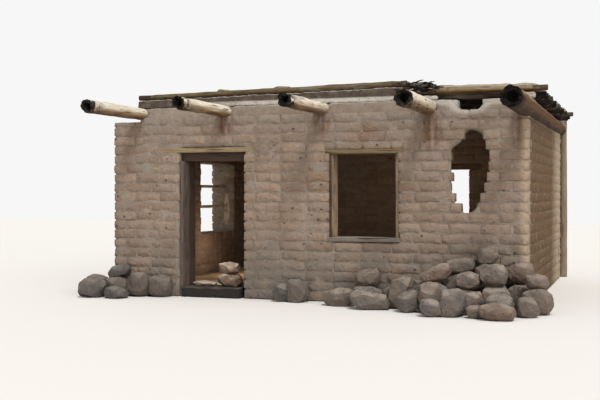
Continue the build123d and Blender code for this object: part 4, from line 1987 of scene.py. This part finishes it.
@dataclass
class RoofLitter:
    """Broken brush and pebbles that have gathered on the roof."""

    twig_count: int = 60
    twig_sides: int = 6
    twig_steps: int = 4
    twig_length: tuple[float, float] = (0.08, 0.22)
    twig_radius: tuple[float, float] = (0.007, 0.018)
    twig_taper: float = 0.14
    twig_crook: float = 0.008
    twig_turn: tuple[float, float] = (-0.5, 0.5)
    twig_rise: tuple[float, float] = (-0.25, 0.2)
    twig_tones: tuple[float, ...] = (0.2, 0.5, 0.9)
    smooth_angle: float = 60.0
    heap_middle: tuple[float, float, float] = (1.41, -2.16, 2.655)
    heap_spread: float = 0.11
    heap_depth: tuple[float, float] = (-0.08, 0.10)
    heap_height: tuple[float, float] = (-0.05, 0.07)
    pebble_count: int = 90
    pebble_radius: tuple[float, float] = (0.014, 0.034)
    pebble_length: tuple[float, float] = (0.8, 1.4)
    pebble_height: tuple[float, float] = (0.5, 0.8)
    pebbles_x: tuple[float, float] = (-2.2, 2.7)
    pebbles_y: tuple[float, float] = (-1.9, 1.9)
    roof_top: float = 2.70
    seed: int = 61

    def build_brush(self, draw: random.Random) -> None:
        """Builds and dresses the brush that is caught between the edge poles.

        Args:
            draw: The source of chance.
        """
        logs = Logs(sides=self.twig_sides)
        x, y, z = self.heap_middle
        twigs = []
        for _ in range(self.twig_count):
            start = Vector(
                (
                    draw.gauss(x, self.heap_spread),
                    y + draw.uniform(*self.heap_depth),
                    z + draw.uniform(*self.heap_height),
                )
            )
            direction = Vector(
                (
                    draw.choice((-1, 1)),
                    draw.uniform(*self.twig_turn),
                    draw.uniform(*self.twig_rise),
                )
            ).normalized()
            length = draw.uniform(*self.twig_length)
            radius = draw.uniform(*self.twig_radius)
            stations = []
            for step in range(self.twig_steps + 1):
                crook = Vector([draw.uniform(-1, 1) for _ in range(3)]) * self.twig_crook
                at = start + direction * length * step / self.twig_steps + crook
                stations.append((at, radius * (1 - self.twig_taper * step)))
            twig = logs.grow("twig", stations)
            close_mesh(twig, self.smooth_angle)
            set_tone(twig.data, draw.choice(self.twig_tones))
            twigs.append(twig)
        finish = PeeledLog(
            name="dead_brush",
            grain=Grain.X,
            bleached_and_sunlit="#4F4238",
            heartwood="#352A22",
            fibre_and_underside_shade="#1E1713",
            ring_width=4.0,
            crack_width=6.0,
        ).material()
        hand_over(join_pieces(twigs, "roof_brush"), finish, Slot.POLE)

    def build_pebbles(self, draw: random.Random) -> None:
        """Builds and dresses the pebbles on the roof's earth.

        Args:
            draw: The source of chance.
        """
        pebbles = []
        for _ in range(self.pebble_count):
            at = (draw.uniform(*self.pebbles_x), draw.uniform(*self.pebbles_y), self.roof_top)
            bpy.ops.mesh.primitive_ico_sphere_add(
                subdivisions=2,
                radius=draw.uniform(*self.pebble_radius),
                location=at,
                rotation=(0, 0, draw.uniform(0, math.tau)),
                scale=(draw.uniform(*self.pebble_length), 1.0, draw.uniform(*self.pebble_height)),
            )
            pebble = bpy.context.object
            bpy.ops.object.transform_apply(location=True, rotation=True, scale=True)
            set_tone(pebble.data, draw.random())
            pebbles.append(pebble)
        piece = join_pieces(pebbles, "roof_pebbles")
        roughen(piece, size=0.02, depth=0.008)
        hand_over(piece, FieldStone(name="roof_gravel").material(), Slot.STONE)

    def build(self) -> None:
        """Builds all the litter."""
        draw = random.Random(self.seed)
        self.build_brush(draw)
        self.build_pebbles(draw)


@dataclass(frozen=True)
class Sun:
    """A soft distant light.

    Its strength is in watts per square metre, its spread, which softens its shadows, is its size in
    degrees, and toward is the direction it shines in.
    """

    name: str
    strength: float
    spread: float
    toward: tuple[float, float, float]
    distance: float = 8.0

    def build(self) -> None:
        """Hangs the light."""
        toward = Vector(self.toward).normalized()
        bpy.ops.object.light_add(type="SUN", location=-self.distance * toward)
        sun = bpy.context.object
        sun.name = self.name
        sun.data.energy = self.strength
        sun.data.angle = math.radians(self.spread)
        sun.rotation_euler = toward.to_track_quat("-Z", "Y").to_euler()


@dataclass
class Studio:
    """A plain pale floor, soft light and a camera where the photograph was taken from."""

    floor_size: float = 60.0
    floor_colour: str = "#E4E0DA"
    floor_roughness: float = 0.9
    camera_place: tuple[float, float, float] = (4.056, -14.265, 1.373)
    aim: tuple[float, float, float] = (0.02, -2.6, 1.28)
    lens: float = 60.0
    suns: tuple[Sun, ...] = (
        Sun("key", 2.1, 14, (-0.35, 0.55, -0.95)),
        Sun("fill", 0.9, 40, (-0.7, 0.65, -0.3)),
    )
    sky_colour: str = "#FFFFFF"
    sky_strength: float = 0.62
    backdrop_strength: float = 0.93
    room_places: tuple[tuple[float, float, float], ...] = ((-1.8, -0.3, 0.6), (0.9, 0.6, 1.6))
    room_colour: str = "#FFDDBB"
    room_strength: float = 8.0
    room_radius: float = 0.5

    def build_floor(self) -> None:
        """Lays the floor."""
        bpy.ops.mesh.primitive_plane_add(size=self.floor_size, location=(0, 0, 0))
        floor = bpy.context.object
        floor.name = "studio_floor"
        paper = bpy.data.materials.new("pale_paper")
        paper.use_nodes = True
        shader = paper.node_tree.nodes["Principled BSDF"]
        shader.inputs["Base Color"].default_value = linear(self.floor_colour)
        shader.inputs["Roughness"].default_value = self.floor_roughness
        floor.data.materials.append(paper)
        floor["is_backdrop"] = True

    def build_room_lights(self) -> None:
        """Hangs the lamps that stand in for daylight thrown back by the room's floor and walls."""
        for number, place in enumerate(self.room_places):
            bpy.ops.object.light_add(type="POINT", location=place, radius=self.room_radius)
            lamp = bpy.context.object
            lamp.name = f"room_fill_{number}"
            lamp.data.energy = self.room_strength
            lamp.data.color = linear(self.room_colour)[:3]

    def build_sky(self) -> None:
        """Lights the house evenly, and shows the camera a paler backdrop."""
        sky = bpy.context.scene.world or bpy.data.worlds.new("studio")
        bpy.context.scene.world = sky
        sky.use_nodes = True
        background = sky.node_tree.nodes["Background"]
        background.inputs["Color"].default_value = linear(self.sky_colour)
        rays = add_node(sky, "LightPath", {})
        limits = {"To Min": self.sky_strength, "To Max": self.backdrop_strength}
        limits["Value"] = rays.outputs["Is Camera Ray"]
        strength = add_node(sky, "MapRange", limits)
        sky.node_tree.links.new(strength.outputs["Result"], background.inputs["Strength"])

    def place_camera(self) -> None:
        """Sets up the camera and the plain view of its picture."""
        place = Vector(self.camera_place)
        bpy.ops.object.camera_add(location=place)
        camera = bpy.context.object
        camera.data.lens = self.lens
        camera.rotation_euler = (Vector(self.aim) - place).to_track_quat("-Z", "Y").to_euler()
        bpy.context.scene.camera = camera
        bpy.context.scene.view_settings.view_transform = "Standard"

    def build(self) -> None:
        """Builds the floor, the lights, the sky and the camera."""
        self.build_floor()
        for sun in self.suns:
            sun.build()
        self.build_room_lights()
        self.build_sky()
        self.place_camera()


# The hole broken through the front wall and the notch in its top, as points of X and Z.
HOLE = [
    (2.07, 2.14), (2.21, 2.07), (2.29, 1.87), (2.30, 1.69), (2.27, 1.47), (2.22, 1.33), (2.11, 1.15),
    (2.00, 1.11), (1.897, 1.225), (1.844, 1.40), (1.844, 1.902), (1.96, 1.98), (2.02, 2.09),
]
NOTCH = [(1.825, 2.52), (1.935, 2.365), (2.155, 2.358), (2.268, 2.52)]

# The walls in the order in which they are laid.
WALLS = (
    Wall(
        name="front_wall",
        turn=0,
        half_length=HALF_WIDTH,
        face=HALF_DEPTH,
        starts_whole=True,
        gaps=[
            Gap(-1.77, -0.85, -0.1, 1.90),  # the doorway
            Gap(-2.08, -0.74, 1.90, 1.96),  # its lintel
            Gap(0.30, 1.19, 0.81, 1.86),  # the window
            Gap(0.245, 1.245, 1.86, 1.915),  # its lintel
            Gap(0.28, 1.21, 0.76, 0.81),  # its sill
            Gap(-2.8, -2.346, 2.315, 2.6),  # the fallen corner beside the first log
        ],
        outlines=[HOLE, NOTCH],
        worn_top=True,
    ),
    Wall(
        name="right_wall",
        turn=90,
        half_length=HALF_DEPTH,
        face=HALF_WIDTH,
        starts_whole=False,
        gaps=[],
    ),
    Wall(
        name="back_wall",
        turn=180,
        half_length=HALF_WIDTH,
        face=HALF_DEPTH,
        starts_whole=True,
        gaps=[
            Gap(-1.35, -0.45, -0.1, 1.75),  # the doorway
            Gap(-1.55, -0.25, 1.75, 1.83),  # its lintel
            Gap(2.335, 2.8, 2.315, 2.6),  # the fallen corner beside the first log
        ],
        worn_top=True,
    ),
    Wall(
        name="left_wall",
        turn=-90,
        half_length=HALF_DEPTH,
        face=HALF_WIDTH,
        starts_whole=False,
        gaps=[
            Gap(-0.95, 0.33, 0.74, 1.83),  # the window
            Gap(-1.10, 0.48, 1.83, 1.91),  # its lintel
            Gap(-2.4, 2.4, 2.315, 2.6),  # the fallen top
        ],
    ),
)


def main() -> None:
    """Builds the house's pieces in order."""
    Studio().build()
    MudWork().build()
    brickwork = Brickwork()
    brickwork.prepare()
    brick = AdobeBrick().material()
    for wall in WALLS:
        brickwork.build(wall, brick)
    Logs().build()
    RoofPoles().build()
    Timber().build()
    Stones().build()
    RoofLitter().build()
    boxes = {"cad": cad_box, "visual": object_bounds()}
    sizes = {name: [list(corner) for corner in box] for name, box in boxes.items()}


if __name__ == "__main__":
    logging.basicConfig(level=logging.INFO, format="%(name)s %(message)s")
    main()
